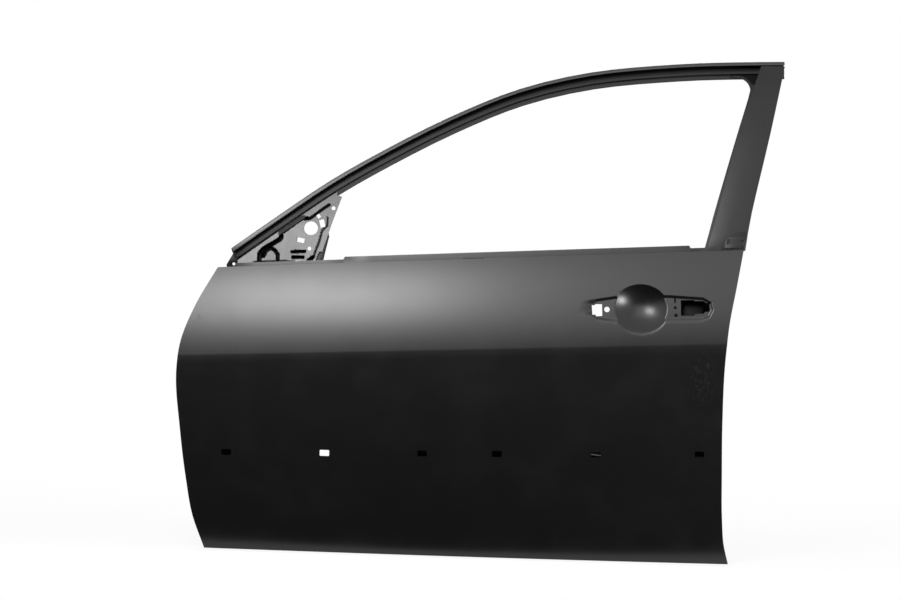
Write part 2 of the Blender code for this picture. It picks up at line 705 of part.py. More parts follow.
def panel_drillings():
    """Cutter for the bolt holes, the check strap's slot and the latch's mouth."""
    bm = bmesh.new()
    for _, place, radius, _ in bolt_places():
        bar(bm, place, radius, 6.0)
    mouth = (LATCH_X, LATCH_MOUTH_OFFSET[0], LATCH_Z + LATCH_MOUTH_OFFSET[1])
    for centre, size in (((CHECK_X, 0, CHECK_Z), CHECK_SLOT_SIZE), (mouth, LATCH_MOUTH_SIZE)):
        bmesh.ops.create_cube(bm, size=1.0, matrix=Matrix.Translation(Vector(centre) * MM)
                              @ Matrix.Diagonal((*[s * MM for s in size], 1.0)))
    mesh = bpy.data.meshes.new("panel_drillings")
    bm.to_mesh(mesh)
    bm.free()
    cutter = bpy.data.objects.new("panel_drillings", mesh)
    bpy.context.scene.collection.objects.link(cutter)
    cutter.hide_render = True
    cutter.display_type = 'WIRE'
    return cutter


def shut_reinforcements(mat):
    """Thick plates behind the pads of the shut faces, with the bolt holes carried through."""
    drilled = {}
    for _, (x, y, z), radius, _ in bolt_places():
        drilled.setdefault(x, []).append((y, z, radius))
    rows = [("upper_hinge_reinforcement", 0.0, UPPER_HINGE_Z, HINGE_PAD_HALF - 4, 1,
             UPPER_PLATE_SKIN_SIDE, None),
            ("lower_hinge_reinforcement", LOWER_HINGE_X, LOWER_HINGE_Z, HINGE_PAD_HALF - 4, 1,
             LOWER_PLATE_SKIN_SIDE, None),
            ("check_strap_reinforcement", CHECK_X, CHECK_Z, CHECK_PAD_HALF - 2, 1,
             CHECK_PLATE_SKIN_SIDE, CHECK_PLATE_SLOT),
            ("latch_reinforcement", LATCH_X, LATCH_Z, LATCH_PAD_HALF - 4, -1,
             LATCH_PLATE_SKIN_SIDE, LATCH_PLATE_MOUTH)]
    for name, x, z, half, sign, skin_side, slot in rows:
        outline = rounded_box(skin_side, PLATE_CABIN_SIDE, -half, half, PLATE_CORNER, 2)
        holes = [circle(y, bz - z, r + 0.5, 10) for y, bz, r in drilled[x]]
        if slot:
            holes.append(rounded_box(*slot, 1))
        start = x + sign * (INNER_GAUGE + GAP)
        bm, _ = sheet_mesh(cut_blank(outline, holes, (), 60.0), lambda y, v: (start, y, z + v))
        finish(name, bm, mat, BRACKET_GAUGE, side=sign)


def weld_nuts(mat):
    for name, (x, y, z), radius, sign in bolt_places():
        near = x + sign * (INNER_GAUGE + BRACKET_GAUGE + 2 * GAP)
        width = radius * 2.1
        outer = circle(y, z, width, 6)
        bore = circle(y, z, radius - 0.4, 12)
        bm, _ = sheet_mesh(cut_blank(outer, [bore], (), 200.0), lambda u, v: (near, u, v))
        finish(name, bm, mat, radius * 1.7, side=sign)


def handle_reinforcement(mat):
    """A plate behind the handle's recess, open round the cup."""
    outline = rounded_box(*HANDLE_PLATE, 3)
    hole = ellipse(CUP_X, CUP_Z, CUP_HALF_LENGTH + 3, CUP_HALF_HEIGHT + 3, 28)
    depth = SKIN_GAUGE + GAP + 0.2
    blank = cut_blank(outline, [hole, *handle_holes(HOLE_MARGIN)], [], 26.0)
    bm, _ = sheet_mesh(blank, lambda x, z: (x, skin_y(x, z) + RECESS_DEPTH + depth, z))
    return finish("handle_reinforcement", bm, mat, HANDLE_PLATE_GAUGE)


def belt_reinforcements(outer_mat, inner_mat):
    """Outer one: a folded strip inside the skin's edge, with an upright lip above the belt."""
    places = spread(BELT_STRIP_FRONT_X, BELT_LIP_START - 1, 45.0)
    places += spread(BELT_LIP_START + 2, BELT_LIP_END - 1, 51.0)
    places += spread(BELT_LIP_END + 2, BELT_STRIP_REAR_X, 32.0)
    bm = bmesh.new()
    rows = []
    for x in places:
        top = belt_z(x)
        belt_y = skin_y(x, top)
        lip = BELT_LIP if BELT_LIP_START < x < BELT_LIP_END else BELT_LIP_LOW
        flange = SKIN_GAUGE + GAP + 0.35
        foot = top - BELT_FLANGE_FOOT
        shoulder = top - BELT_FLANGE_TOP
        section = [(skin_y(x, foot) + flange, foot), (skin_y(x, shoulder) + flange, shoulder),
                   (belt_y + BELT_REACH, top - 12), (belt_y + BELT_REACH, top + lip)]
        rows.append([bm.verts.new(Vector((x, y, z)) * MM) for y, z in section])
    for row, next_row in zip(rows, rows[1:]):
        add_strip(bm, row, next_row, flip=True)
    finish("outer_belt_reinforcement", bm, outer_mat, BELT_GAUGE)
    bm = bmesh.new()
    rows = []
    near = INNER_FACE_Y - GAP
    crown = near - 15.0
    for x in spread(INNER_STRIP_FRONT_X, INNER_STRIP_REAR_X, 94.0):
        top = belt_z(x) + INNER_TOP_RISE - 2
        section = [(near, top), (near, top - 9), (crown, top - 15), (crown, top - 36),
                   (near, top - 42), (near, top - 51)]
        rows.append([bm.verts.new(Vector((x, y, z)) * MM) for y, z in section])
    for row, next_row in zip(rows, rows[1:]):
        add_strip(bm, row, next_row)
    finish("inner_belt_reinforcement", bm, inner_mat, BELT_GAUGE, side=1.0)


def sash_upper(mat):
    lip = SASH_LIP
    depth = SASH_DEPTH
    box = SASH_BOX_WIDTH
    fold = SASH_INNER_LIP_DEPTH
    double = 2 * SASH_GAUGE + 0.4
    section = [(lip, 0), (1.2, 0), (0, 1.2), (0, depth - 1.5), (1.5, depth), (box - 1.5, depth),
               (box, depth - 1.5), (box, fold + double), (SASH_INNER_LIP, fold + double),
               (SASH_INNER_LIP, fold), (box - 1.5, fold), (box - 1.5, SASH_FLOOR_DEPTH),
               (1.6, SASH_FLOOR_DEPTH)]
    stations = sash_stations(smooth_curve(ARCH, ARCH_STEP))
    return sweep("sash_upper", mat, stations, section, SASH_GAUGE, 1.0)


def pillar(sash_mat, plate_mat, bracket_mat):
    """The rear sash, the cover plate welded over it, and the bracket at its foot."""
    path = smooth_curve(PILLAR_FRONT, PILLAR_STEP)
    near = SKIN_GAUGE + GAP
    width = PILLAR_SASH_WIDTH
    web = PILLAR_CHANNEL_DEPTH
    lip = near + PILLAR_CHANNEL_WIDTH
    hem = near + 2 * SASH_GAUGE + GAP
    section = [(2, lip), (web, lip), (web, hem), (0, hem), (0, near), (width, near),
               (width, SASH_DEPTH), (web + 1.1, SASH_DEPTH), (web + 1.1, lip + 1.6)]
    sweep("sash_rear", sash_mat, sash_stations(path), section, SASH_GAUGE, -1.0)
    bm = bmesh.new()
    rows = []
    for share in spread(0.0, 1.0, 0.1):
        row = []
        ends = []
        for edge in (PILLAR_FRONT_COVER, PILLAR_REAR):
            low_z = belt_z(edge[0][0]) + PILLAR_FOOT_RISE
            z = low_z + (PILLAR_TOP_Z - low_z) * share
            ends.append((edge_x(edge, z), z))
        (x0, z0), (x1, z1) = ends
        for part_of, depth in ((0.0, 0.0), (0.5, 0.0), (0.965, 0.0), (1.0, 1.5), (1.0, 9.0)):
            x = x0 + (x1 - x0) * part_of
            z = z0 + (z1 - z0) * part_of
            row.append(bm.verts.new(Vector((x, behind_sash(x, z, depth), z)) * MM))
        rows.append(row)
    for row, next_row in zip(rows, rows[1:]):
        add_strip(bm, row, next_row)
    finish("pillar_plate", bm, plate_mat, SKIN_GAUGE, side=-1.0)
    holes = [circle(*PILLAR_FOOT_BOLT, 10), PILLAR_FOOT_NOTCH]
    bm, _ = sheet_mesh(cut_blank(PILLAR_FOOT, holes, (), 60.0),
                       lambda x, z: (x, behind_sash(x, z, -GAP - FOOT_GAUGE), z))
    finish("pillar_foot_bracket", bm, bracket_mat, FOOT_GAUGE)


def ease(value):
    value = min(1.0, max(0.0, value))
    return value * value * (3 - 2 * value)


def sail_sheets(sail_mat, mirror_mat, frame_mat):
    """The sheets that close the corner between the arch and the belt."""
    arch = smooth_curve(ARCH, ARCH_STEP)
    lip_depth = SASH_INNER_LIP_DEPTH - GAP - SKIN_GAUGE - SASH_CURVE_ROOM
    rest_y = INNER_FACE_Y - GAP - SKIN_GAUGE

    def sail_form(x, z):
        share = ease((belt_z(x) + SAIL_BEND_TOP - z) / SAIL_BEND_HEIGHT)
        return (1 - share) * behind_sash(x, z, lip_depth) + share * rest_y

    clear = SASH_BOX_WIDTH + SAIL_LEAN_ROOM
    upper = [p for p in offset_path(arch, -clear) if SAIL_FRONT_X < p[0] < SAIL_STRIP_END_X]
    outline = [(SAIL_FRONT_X, SAIL_FOOT_Z), (SAIL_REAR_X, SAIL_FOOT_Z + 6)]
    outline += [(x, z - SAIL_STRIP) for x, z in upper if x > SAIL_REAR_X]
    outline += upper[::-1]
    outline += [(SAIL_FRONT_X, upper[0][1] - (upper[0][0] - SAIL_FRONT_X) * 0.75)]
    blank = cut_blank(divide(outline, 9.0), (), (), 9.0)
    bm, _ = sheet_mesh(blank, lambda x, z: (x, sail_form(x, z), z))
    finish("sail_panel", bm, sail_mat, SKIN_GAUGE)

    depth = lip_depth - GAP - BRACKET_GAUGE
    blank = cut_blank(divide(MIRROR_OUTLINE, 20.0), mirror_holes(), (), 24.0)
    bm, _ = sheet_mesh(blank, lambda x, z: (x, behind_sash(x, z, depth), z))
    finish("mirror_bracket", bm, mirror_mat, BRACKET_GAUGE)

    back = SASH_DEPTH + GAP
    foot_y = INNER_FACE_Y - GAP - BRACKET_GAUGE

    def foot_form(x, z):
        share = ease((FOOT_BEND_TOP - z) / FOOT_BEND_HEIGHT)
        return (1 - share) * behind_sash(x, z, back) + share * foot_y

    bolt = circle(*SASH_FOOT_HOLE, 10)
    bm, _ = sheet_mesh(cut_blank(divide(SASH_FOOT, 9.0), [bolt], (), 12.0),
                       lambda x, z: (x, foot_form(x, z), z))
    finish("sash_front_bracket", bm, frame_mat, BRACKET_GAUGE)


def mirror_holes():
    """The cable hole, two bolt holes, a slanted slot and two square holes."""
    holes = [circle(234.1, 265.9, 14.4, 24), circle(279.4, 309.7, 4.1, 12),
             circle(232.9, 223.0, 3.9, 12)]
    for x, z, length, height, turn in ((257.2, 276.8, 10, 16, 15), (213.1, 240.2, 17, 9.5, -10),
                                       (249.0, 291.8, 7, 8, 40)):
        angle = math.radians(turn)
        corners = [(-length / 2, -height / 2), (length / 2, -height / 2), (length / 2, height / 2),
                   (-length / 2, height / 2)]
        holes.append([(x + u * math.cos(angle) - v * math.sin(angle),
                       z + u * math.sin(angle) + v * math.cos(angle)) for u, v in corners])
    return holes


def corner_gusset(mat):
    """A plate behind the rear top corner, with a round inner edge."""
    x, z = GUSSET_CORNER
    fillet = [(x - GUSSET_FILLET + GUSSET_FILLET * math.sin(math.radians(a)),
               z - GUSSET_FILLET + GUSSET_FILLET * math.cos(math.radians(a)))
              for a in (90, 72, 54, 36, 18, 0)]
    outline = [(x, z - 52), (x + 32, z - 54), (x + 44, z + 32), (x - 62, z + 28), (x - 62, z)]
    outline += fillet[::-1]
    bm, _ = sheet_mesh(cut_blank(divide(outline, 20.0), (), (), 18.0),
                       lambda u, v: (u, behind_sash(u, v, SASH_DEPTH + GAP), v))
    finish("sash_corner_gusset", bm, mat, BRACKET_GAUGE)


def lower_sashes(sash_mat, strap_mat):
    """Glass channels below the belt, and the straps that hold them to the inner panel."""
    front = smooth_curve(FRONT_CHANNEL, 40.0)
    rear = smooth_curve(REAR_CHANNEL, 40.0)
    near = SASH_INNER_LIP_DEPTH - GAP
    for name, path, start in (("front_lower_sash", front, near),
                              ("rear_lower_sash", rear, REAR_CHANNEL_SETBACK)):
        section = [(0, start), (CHANNEL_DEPTH, start), (CHANNEL_DEPTH, start + CHANNEL_WIDTH),
                   (0, start + CHANNEL_WIDTH)]
        sweep(name, sash_mat, sash_stations(path), section, SASH_GAUGE, -1.0)
    holds = [("front_sash_strap", FRONT_CHANNEL[-1], (-5, 12), near + CHANNEL_WIDTH),
             ("rear_sash_strap", REAR_CHANNEL[0], (8, 12), REAR_CHANNEL_SETBACK + CHANNEL_WIDTH),
             ("pillar_sash_strap", PILLAR_FRONT[0], (26, 14), SASH_DEPTH)]
    for name, (x, z), (dx, dz), depth in holds:
        strap(name, strap_mat, x + dx, z + dz, depth)


def strap(name, mat, x, z, depth):
    """A folded strap from the back of a channel to the inner panel."""
    half = STRAP_WIDTH / 2
    bm = bmesh.new()
    rows = []
    for side in (-half, half):
        top = behind_sash(x + side, z + 12, depth) + GAP + 0.5
        low = behind_sash(x + side, z - 2, depth) + GAP + 0.5
        section = [(top + BRACKET_GAUGE / 2, z + 12), (low + BRACKET_GAUGE / 2, z - 2),
                   (INNER_FACE_Y - GAP - BRACKET_GAUGE / 2, z - 12),
                   (INNER_FACE_Y - GAP - BRACKET_GAUGE / 2, z - 28)]
        rows.append([bm.verts.new(Vector((x + side, y, v)) * MM) for y, v in section])
    add_strip(bm, *rows)
    finish(name, bm, mat, BRACKET_GAUGE, side=0.0)


def wall_x(y, z, at_front):
    """Cavity side of the shut wall at a place."""
    edge = edge_x(FRONT_EDGE if at_front else REAR_EDGE, z)
    sign = 1 if at_front else -1
    top_y = skin_y(edge + sign * WALL_TOP, z) + SKIN_GAUGE + GAP
    share = (y - top_y) / (WALL_FOOT_Y - top_y)
    return edge + sign * (WALL_TOP + (WALL_FOOT - WALL_TOP) * share)


def beam_axis():
    """Both ends of the impact beam's axis."""
    front_x = wall_x(BEAM_FRONT_Y, BEAM_FRONT_Z, True) + BEAM_END_CLEARANCE
    rear_x = wall_x(BEAM_REAR_Y, BEAM_REAR_Z, False) - BEAM_END_CLEARANCE
    return Vector((front_x, BEAM_FRONT_Y, BEAM_FRONT_Z)), Vector((rear_x, BEAM_REAR_Y, BEAM_REAR_Z))


def impact_beam(beam_mat, bracket_mat, pad_mat):
    """A drawn tube across the door, its two brackets, and mastic pads to the skin."""
    start, end = beam_axis()
    along = (end - start).normalized()
    up = Vector((0, 1, 0)).cross(along).normalized()
    side = Vector((0, 1, 0))
    bm = bmesh.new()
    rings = []
    count = 20
    for place, radius in ((start, BEAM_RADIUS), (end, BEAM_RADIUS), (end, BEAM_BORE),
                          (start, BEAM_BORE)):
        rings.append([bm.verts.new((place + (side * math.cos(2 * math.pi * k / count)
                                             + up * math.sin(2 * math.pi * k / count)) * radius) * MM)
                      for k in range(count)])
    for ring, next_ring in zip(rings, rings[1:] + rings[:1]):
        add_strip(bm, ring + ring[:1], next_ring + next_ring[:1])
    bmesh.ops.recalc_face_normals(bm, faces=bm.faces)
    finish("impact_beam", bm, beam_mat)
    for name, at_front in (("beam_bracket_front", True), ("beam_bracket_rear", False)):
        beam_bracket(name, bracket_mat, start, end, at_front)
    for k, x in enumerate(PAD_X):
        middle = start + (end - start) * ((x - start.x) / (end.x - start.x))
        half = (PAD_LENGTH / 2, PAD_HEIGHT / 2)
        corners = [(x + i * half[0], middle.z + j * half[1]) for i in (-1, 1) for j in (-1, 1)]
        near = max(skin_y(*c) for c in corners) + SKIN_GAUGE + GAP + 0.2
        far = middle.y - BEAM_RADIUS - GAP - 0.1
        outline = rounded_box(x - half[0], x + half[0], middle.z - half[1], middle.z + half[1], 6, 2)
        bm, _ = sheet_mesh(cut_blank(outline, (), (), 200.0), lambda u, v: (u, near, v))
        finish(f"mastic_pad_{k + 1}", bm, pad_mat, far - near)


def beam_bracket(name, mat, start, end, at_front):
    """A trough round the beam's inboard half, flanged against the shut wall."""
    sign = 1 if at_front else -1
    reach = BEAM_RADIUS + GAP + 0.25
    section = [(-reach - BRACKET_WING, 0.0)]
    section += [(-reach * math.cos(math.radians(a)), reach * math.sin(math.radians(a)))
                for a in range(0, 181, 20)]
    section += [(reach + BRACKET_WING, 0.0)]
    place = start if at_front else end
    along = (end - start) / (end.x - start.x)

    def point(u, v, reach_out, length):
        """A place u up and v inboard of the axis, at a length from the wall."""
        out = (math.hypot(u, v) + reach_out) / math.hypot(u, v)
        wall = wall_x(place.y + v * out, place.z + u * out, at_front)
        axis = place + along * (wall + sign * length - place.x)
        return bm.verts.new((axis + Vector((0, v * out, u * out))) * MM)

    bm = bmesh.new()
    rows = [[point(u, v, 0.0, BRACKET_LENGTH) for u, v in section],
            [point(u, v, 0.0, BRACKET_GAUGE + 4.0) for u, v in section],
            [point(u, v, BRACKET_FLANGE, GAP + 0.1) for u, v in section]]
    for row, next_row in zip(rows, rows[1:]):
        add_strip(bm, row, next_row)
    finish(name, bm, mat, BRACKET_GAUGE, side=-sign)


def build():
    remove_all()
    skin_coat = material("skin_primer", 0.022, 0.42)
    panel_coat = material("panel_primer", 0.03, 0.5)
    frame_coat = material("frame_primer", 0.018, 0.45)
    bracket_coat = material("bracket_primer", 0.05, 0.5)
    outer_skin(skin_coat)
    inner_panel(panel_coat)
    shut_reinforcements(bracket_coat)
    weld_nuts(bracket_coat)
    handle_reinforcement(bracket_coat)
    belt_reinforcements(frame_coat, bracket_coat)
    sash_upper(frame_coat)
    pillar(frame_coat, skin_coat, frame_coat)
    sail_sheets(bracket_coat, bracket_coat, frame_coat)
    corner_gusset(frame_coat)
    lower_sashes(frame_coat, bracket_coat)
    impact_beam(panel_coat, bracket_coat, material("mastic", 0.05, 0.9))


build()
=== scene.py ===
import math

import bpy
import numpy as np
from mathutils import Matrix, Vector


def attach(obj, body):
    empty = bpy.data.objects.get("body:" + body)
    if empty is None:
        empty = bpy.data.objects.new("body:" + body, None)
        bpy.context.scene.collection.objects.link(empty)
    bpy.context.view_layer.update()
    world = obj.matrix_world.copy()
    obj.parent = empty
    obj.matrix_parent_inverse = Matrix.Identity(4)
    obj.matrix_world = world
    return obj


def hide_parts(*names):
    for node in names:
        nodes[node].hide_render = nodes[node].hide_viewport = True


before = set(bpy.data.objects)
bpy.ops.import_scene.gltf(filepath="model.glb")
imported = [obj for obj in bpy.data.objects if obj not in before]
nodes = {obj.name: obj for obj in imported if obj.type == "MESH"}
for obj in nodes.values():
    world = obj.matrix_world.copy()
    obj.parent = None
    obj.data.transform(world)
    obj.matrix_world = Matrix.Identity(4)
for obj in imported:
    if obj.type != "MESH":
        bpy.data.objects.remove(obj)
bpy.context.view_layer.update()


# ---------------------------------------------------------------------------
# Camera. The photo was taken from 5.5 m, level with the middle of the door and
# square to its outer side, and the print was turned a little clockwise.
PHOTO_DISTANCE = 5.5
PHOTO_CENTRE = Vector((0.530, -0.072, 0.125))
PHOTO_WIDTH = 1.845
PHOTO_ROLL = math.radians(1.85)
SENSOR = 36.0

bpy.ops.object.camera_add(location=PHOTO_CENTRE - Vector((0, PHOTO_DISTANCE, 0)))
camera = bpy.context.object
camera.name = "photo_camera"
camera.data.sensor_width = SENSOR
camera.data.lens = SENSOR * PHOTO_DISTANCE / PHOTO_WIDTH
camera.rotation_euler = (Matrix.Rotation(math.radians(90), 3, "X")
                         @ Matrix.Rotation(PHOTO_ROLL, 3, "Z")).to_euler()
bpy.context.scene.camera = camera


# ---------------------------------------------------------------------------
# Electrophoretic primer, the coat of the whole shell. The welded shell is dipped
# and baked, which leaves an even dark grey film with a soft gloss. It shows faint
# orange peel, dull dust marks on level places and a few pale handling scuffs.
PEEL_SIZE = 0.004
PEEL_STRENGTH = 0.05
PEEL_HEIGHT = 0.0004
DUST_SIZE = 0.09
DUST_START = (0.45, 0.75)
SCUFF_LENGTH = 0.05
SCUFF_STRETCH = (1.0, 1.0, 0.22)
SCUFF_START = (0.66, 0.74)
MARK_START = (0.52, 0.62)
MARK_CORE = 0.3
MARKED_DULLER = 0.3
FILM_IOR = 1.5


def linear(code):
    """A colour written as sRGB hex, as the linear values that a shader takes."""
    values = [int(code[k:k + 2], 16) / 255 for k in (1, 3, 5)]
    return [v / 12.92 if v <= 0.04045 else ((v + 0.055) / 1.055) ** 2.4 for v in values] + [1.0]


def add(tree, kind, settings=(), links=()):
    """Adds a node, with its settings by name or socket and what feeds its sockets."""
    node = tree.nodes.new(kind)
    for key, value in dict(settings).items():
        if isinstance(key, str) and hasattr(node, key):
            setattr(node, key, value)
        else:
            node.inputs[key].default_value = value
    for key, source in dict(links).items():
        tree.links.new(source, node.inputs[key])
    return node


def handling_mark(tree, place, centre, reach, stretch, strength):
    """A mark left by handling: streaks that fade out round a centre; centre and reach in mm."""
    shift = add(tree, "ShaderNodeVectorMath", {"operation": "SUBTRACT",
                                               1: (centre[0] / 1000, 0, centre[1] / 1000)}, {0: place})
    scaled = add(tree, "ShaderNodeVectorMath", {"operation": "MULTIPLY",
                                                1: (1000 / reach[0], 0, 1000 / reach[1])},
                 {0: shift.outputs[0]})
    far = add(tree, "ShaderNodeVectorMath", {"operation": "LENGTH"}, {0: scaled.outputs[0]})
    zone = add(tree, "ShaderNodeMapRange", {"From Min": 1.0, "From Max": MARK_CORE, "To Max": strength},
               {"Value": far.outputs["Value"]})
    drawn = add(tree, "ShaderNodeMapping", {"Scale": stretch}, {"Vector": place})
    grain = add(tree, "ShaderNodeTexNoise", {"Scale": 1.0, "Detail": 4.0, "Roughness": 0.7},
                {"Vector": drawn.outputs[0]})
    streaks = add(tree, "ShaderNodeMapRange", {"From Min": MARK_START[0], "From Max": MARK_START[1]},
                  {"Value": grain.outputs["Fac"]})
    return add(tree, "ShaderNodeMath", {"operation": "MULTIPLY"},
               {0: zone.outputs[0], 1: streaks.outputs[0]}).outputs[0]


def primer(name, film, dusty, roughness, dust=0.35, marks=0.0, gloss=0.5, handling=()):
    """Baked primer: the film's colour, its dusty shade, and how dull and marked it is."""
    mat = bpy.data.materials.new(name)
    mat.use_nodes = True
    tree = mat.node_tree
    tree.nodes.clear()
    place = add(tree, "ShaderNodeTexCoord").outputs["Object"]
    cloud = add(tree, "ShaderNodeTexNoise", {"Scale": 1 / DUST_SIZE, "Detail": 6.0, "Roughness": 0.62},
                {"Vector": place})
    dust_mask = add(tree, "ShaderNodeMapRange", {"From Min": DUST_START[0], "From Max": DUST_START[1],
                                                 "To Max": dust}, {"Value": cloud.outputs["Fac"]})
    stretch = add(tree, "ShaderNodeMapping", {"Scale": SCUFF_STRETCH}, {"Vector": place})
    streak = add(tree, "ShaderNodeTexNoise", {"Scale": 1 / SCUFF_LENGTH, "Detail": 8.0,
                                              "Roughness": 0.75}, {"Vector": stretch.outputs[0]})
    scuff = add(tree, "ShaderNodeMapRange", {"From Min": SCUFF_START[0], "From Max": SCUFF_START[1],
                                             "To Max": marks}, {"Value": streak.outputs["Fac"]})
    mask = add(tree, "ShaderNodeMath", {"operation": "MAXIMUM"},
               {0: dust_mask.outputs[0], 1: scuff.outputs[0]})
    for mark in handling:
        mask = add(tree, "ShaderNodeMath", {"operation": "MAXIMUM"},
                   {0: mask.outputs[0], 1: handling_mark(tree, place, *mark)})
    colour = add(tree, "ShaderNodeMix", {"data_type": "RGBA", 6: linear(film), 7: linear(dusty)},
                 {0: mask.outputs[0]})
    dull = add(tree, "ShaderNodeMapRange",
               {"To Min": roughness, "To Max": min(1.0, roughness + MARKED_DULLER)},
               {"Value": mask.outputs[0]})
    peel = add(tree, "ShaderNodeTexNoise", {"Scale": 1 / PEEL_SIZE, "Detail": 2.0}, {"Vector": place})
    bump = add(tree, "ShaderNodeBump", {"Strength": PEEL_STRENGTH, "Distance": PEEL_HEIGHT},
               {"Height": peel.outputs["Fac"]})
    shader = add(tree, "ShaderNodeBsdfPrincipled", {"IOR": FILM_IOR, "Specular IOR Level": gloss},
                 {"Base Color": colour.outputs[2], "Roughness": dull.outputs[0],
                  "Normal": bump.outputs[0]})
    add(tree, "ShaderNodeOutputMaterial", {}, {"Surface": shader.outputs[0]})
    return mat


# ---------------------------------------------------------------------------
# Outer skin: one sheet of 0.8 mm steel, drawn to a flat flank and a crowned one
# that meet in a hard crease. Its front, sill and rear edges are hemmed round the
# inner panel, and its top edge is turned in over the belt strip.
MM = 0.001
SKIN_GAUGE = 0.8
SILL_Z = -404.5
BELT_FRONT = (46.0, 177.7)
BELT_REAR = (1136.5, 248.5)
FRONT_EDGE = [(37, SILL_Z), (11.3, -337), (-3.5, -263), (-18.6, -158), (-29.05, -32), (-23, 21),
              (3.5, 96), BELT_FRONT]
REAR_EDGE = [(1124, SILL_Z), (1113, -364), (1107, -310), (1102.5, -218), (1099, -110), (1100.6, 25),
             (1107, 94), (1121, 169), BELT_REAR]
CREASE_FRONT = (-29.6, -8.8)
CREASE_SLOPE = 0.0525
CREASE_Y = -72.0
UPPER_LEAN = 0.105
UPPER_RADIUS = 559.0
LOWER_LEAN = 0.044
LOWER_RADIUS = 3510.0
CAMBER_MIDDLE = 620.0
CAMBER_RADIUS = 8000.0


def along(points, level, axis):
    """Where a smooth line through the points, ordered on the axis, stands at a level."""
    key = np.array([p[axis] for p in points], float)
    other = np.array([p[1 - axis] for p in points], float)
    slope = np.gradient(other, key)
    k = np.clip(np.searchsorted(key, level) - 1, 0, len(key) - 2)
    span = key[k + 1] - key[k]
    t = (level - key[k]) / span
    return ((2 * t ** 3 - 3 * t ** 2 + 1) * other[k] + (t ** 3 - 2 * t ** 2 + t) * span * slope[k]
            + (3 * t ** 2 - 2 * t ** 3) * other[k + 1] + (t ** 3 - t ** 2) * span * slope[k + 1])


def belt_z(x):
    slope = (BELT_REAR[1] - BELT_FRONT[1]) / (BELT_REAR[0] - BELT_FRONT[0])
    return BELT_FRONT[1] + slope * (x - BELT_FRONT[0])


def crease_z(x):
    return CREASE_FRONT[1] + CREASE_SLOPE * (x - CREASE_FRONT[0])


def flank_y(x, z):
    """The skin's outer face without the handle's recess."""
    rise = z - crease_z(x)
    upper = UPPER_LEAN * rise + rise ** 2 / (2 * UPPER_RADIUS)
    lower = -LOWER_LEAN * rise + rise ** 2 / (2 * LOWER_RADIUS)
    return CREASE_Y + np.where(rise > 0, upper, lower) + (x - CAMBER_MIDDLE) ** 2 / (2 * CAMBER_RADIUS)


# Under the clip holes a tuck band turns the sheet a little further in towards the sill. It lies
# in three stretches with slanted ends, and each falls away at a slope of its own.
TUCK_TOP = [(79, -397), (123, -367), (158, -361), (329, -358), (710, -355), (1026, -349), (1130, -347)]
TUCK_ENDS = [((329, -358), (376, -401)), ((710, -355), (656, -401))]
TUCK_SLOPES = [0.021, 0.013, 0.019]


def tuck_depth(x, z):
    """How far the tuck band lies inboard of the plain flank."""
    fall = np.interp(x, [p[0] for p in TUCK_TOP], [p[1] for p in TUCK_TOP]) - z
    first, second = (x > top[0] + (foot[0] - top[0]) * (z - top[1]) / (foot[1] - top[1])
                     for top, foot in TUCK_ENDS)
    slope = np.where(second, TUCK_SLOPES[2], np.where(first, TUCK_SLOPES[1], TUCK_SLOPES[0]))
    return np.where(x > TUCK_TOP[0][0], slope, 0) * np.clip(fall, 0, None)


# The handle's recess is drawn 3.5 mm deep with a soft wall, and the finger cup
# is a deeper bowl that breaks through its upper and lower edge.
RECESS = [(815, 116), (819, 103), (833, 94), (870, 90), (980, 96), (1048, 98.5), (1067, 106),
          (1074.7, 122), (1070, 138), (1052, 147.5), (980, 150), (870, 144.5), (829, 137), (818, 128)]
RECESS_DEPTH = 3.5
RECESS_RAMP = 6.5
CUP_CENTRE = (923.8, 119.6)
CUP_HALF = (58.0, 50.4)
CUP_DEPTH = 25.0
CUP_EDGE = 0.16


def ease(value):
    value = np.clip(value, 0.0, 1.0)
    return value * value * (3 - 2 * value)


def line_distance(a, b, x, z):
    """Distance to the nearest of the straight lines that run from points a to points b."""
    p = np.stack([x, z], -1)[..., None, :]
    t = np.clip(((p - a) * (b - a)).sum(-1) / ((b - a) ** 2).sum(-1), 0, 1)
    return np.linalg.norm(p - a - t[..., None] * (b - a), axis=-1).min(-1)


def loop_distance(loop, x, z):
    """Distance to a loop, below zero outside it."""
    a = np.array(loop, float)
    b = np.roll(a, -1, axis=0)
    distance = line_distance(a, b, x, z)
    px, pz = x[..., None], z[..., None]
    crosses = (a[:, 1] > pz) != (b[:, 1] > pz)
    slope = np.where(a[:, 1] != b[:, 1], b[:, 1] - a[:, 1], 1.0)
    hit = crosses & (px < (b[:, 0] - a[:, 0]) * (pz - a[:, 1]) / slope + a[:, 0])
    return np.where(hit.sum(-1) % 2 == 1, distance, -distance)


def recess_depth(x, z):
    reach = ((x - CUP_CENTRE[0]) / CUP_HALF[0]) ** 2 + ((z - CUP_CENTRE[1]) / CUP_HALF[1]) ** 2
    cup = CUP_DEPTH * np.clip(1 - reach, 0, None) * ease((1 - reach) / CUP_EDGE + 0.5)
    lobe = RECESS_DEPTH * ease(loop_distance(RECESS, x, z) / RECESS_RAMP)
    return np.maximum(cup, lobe)


def deselect_all():
    if bpy.context.object and bpy.context.object.mode != "OBJECT":
        bpy.ops.object.mode_set(mode="OBJECT")
    bpy.ops.object.select_all(action="DESELECT")


def pick(obj):
    """Makes a piece the only one that is selected."""
    deselect_all()
    obj.select_set(True)
    bpy.context.view_layer.objects.active = obj


def coordinates(obj):
    co = np.empty(len(obj.data.vertices) * 3)
    obj.data.vertices.foreach_get("co", co)
    return co.reshape(-1, 3)


def move_points(obj, co):
    obj.data.vertices.foreach_set("co", np.asarray(co, float).ravel())
    obj.data.update()


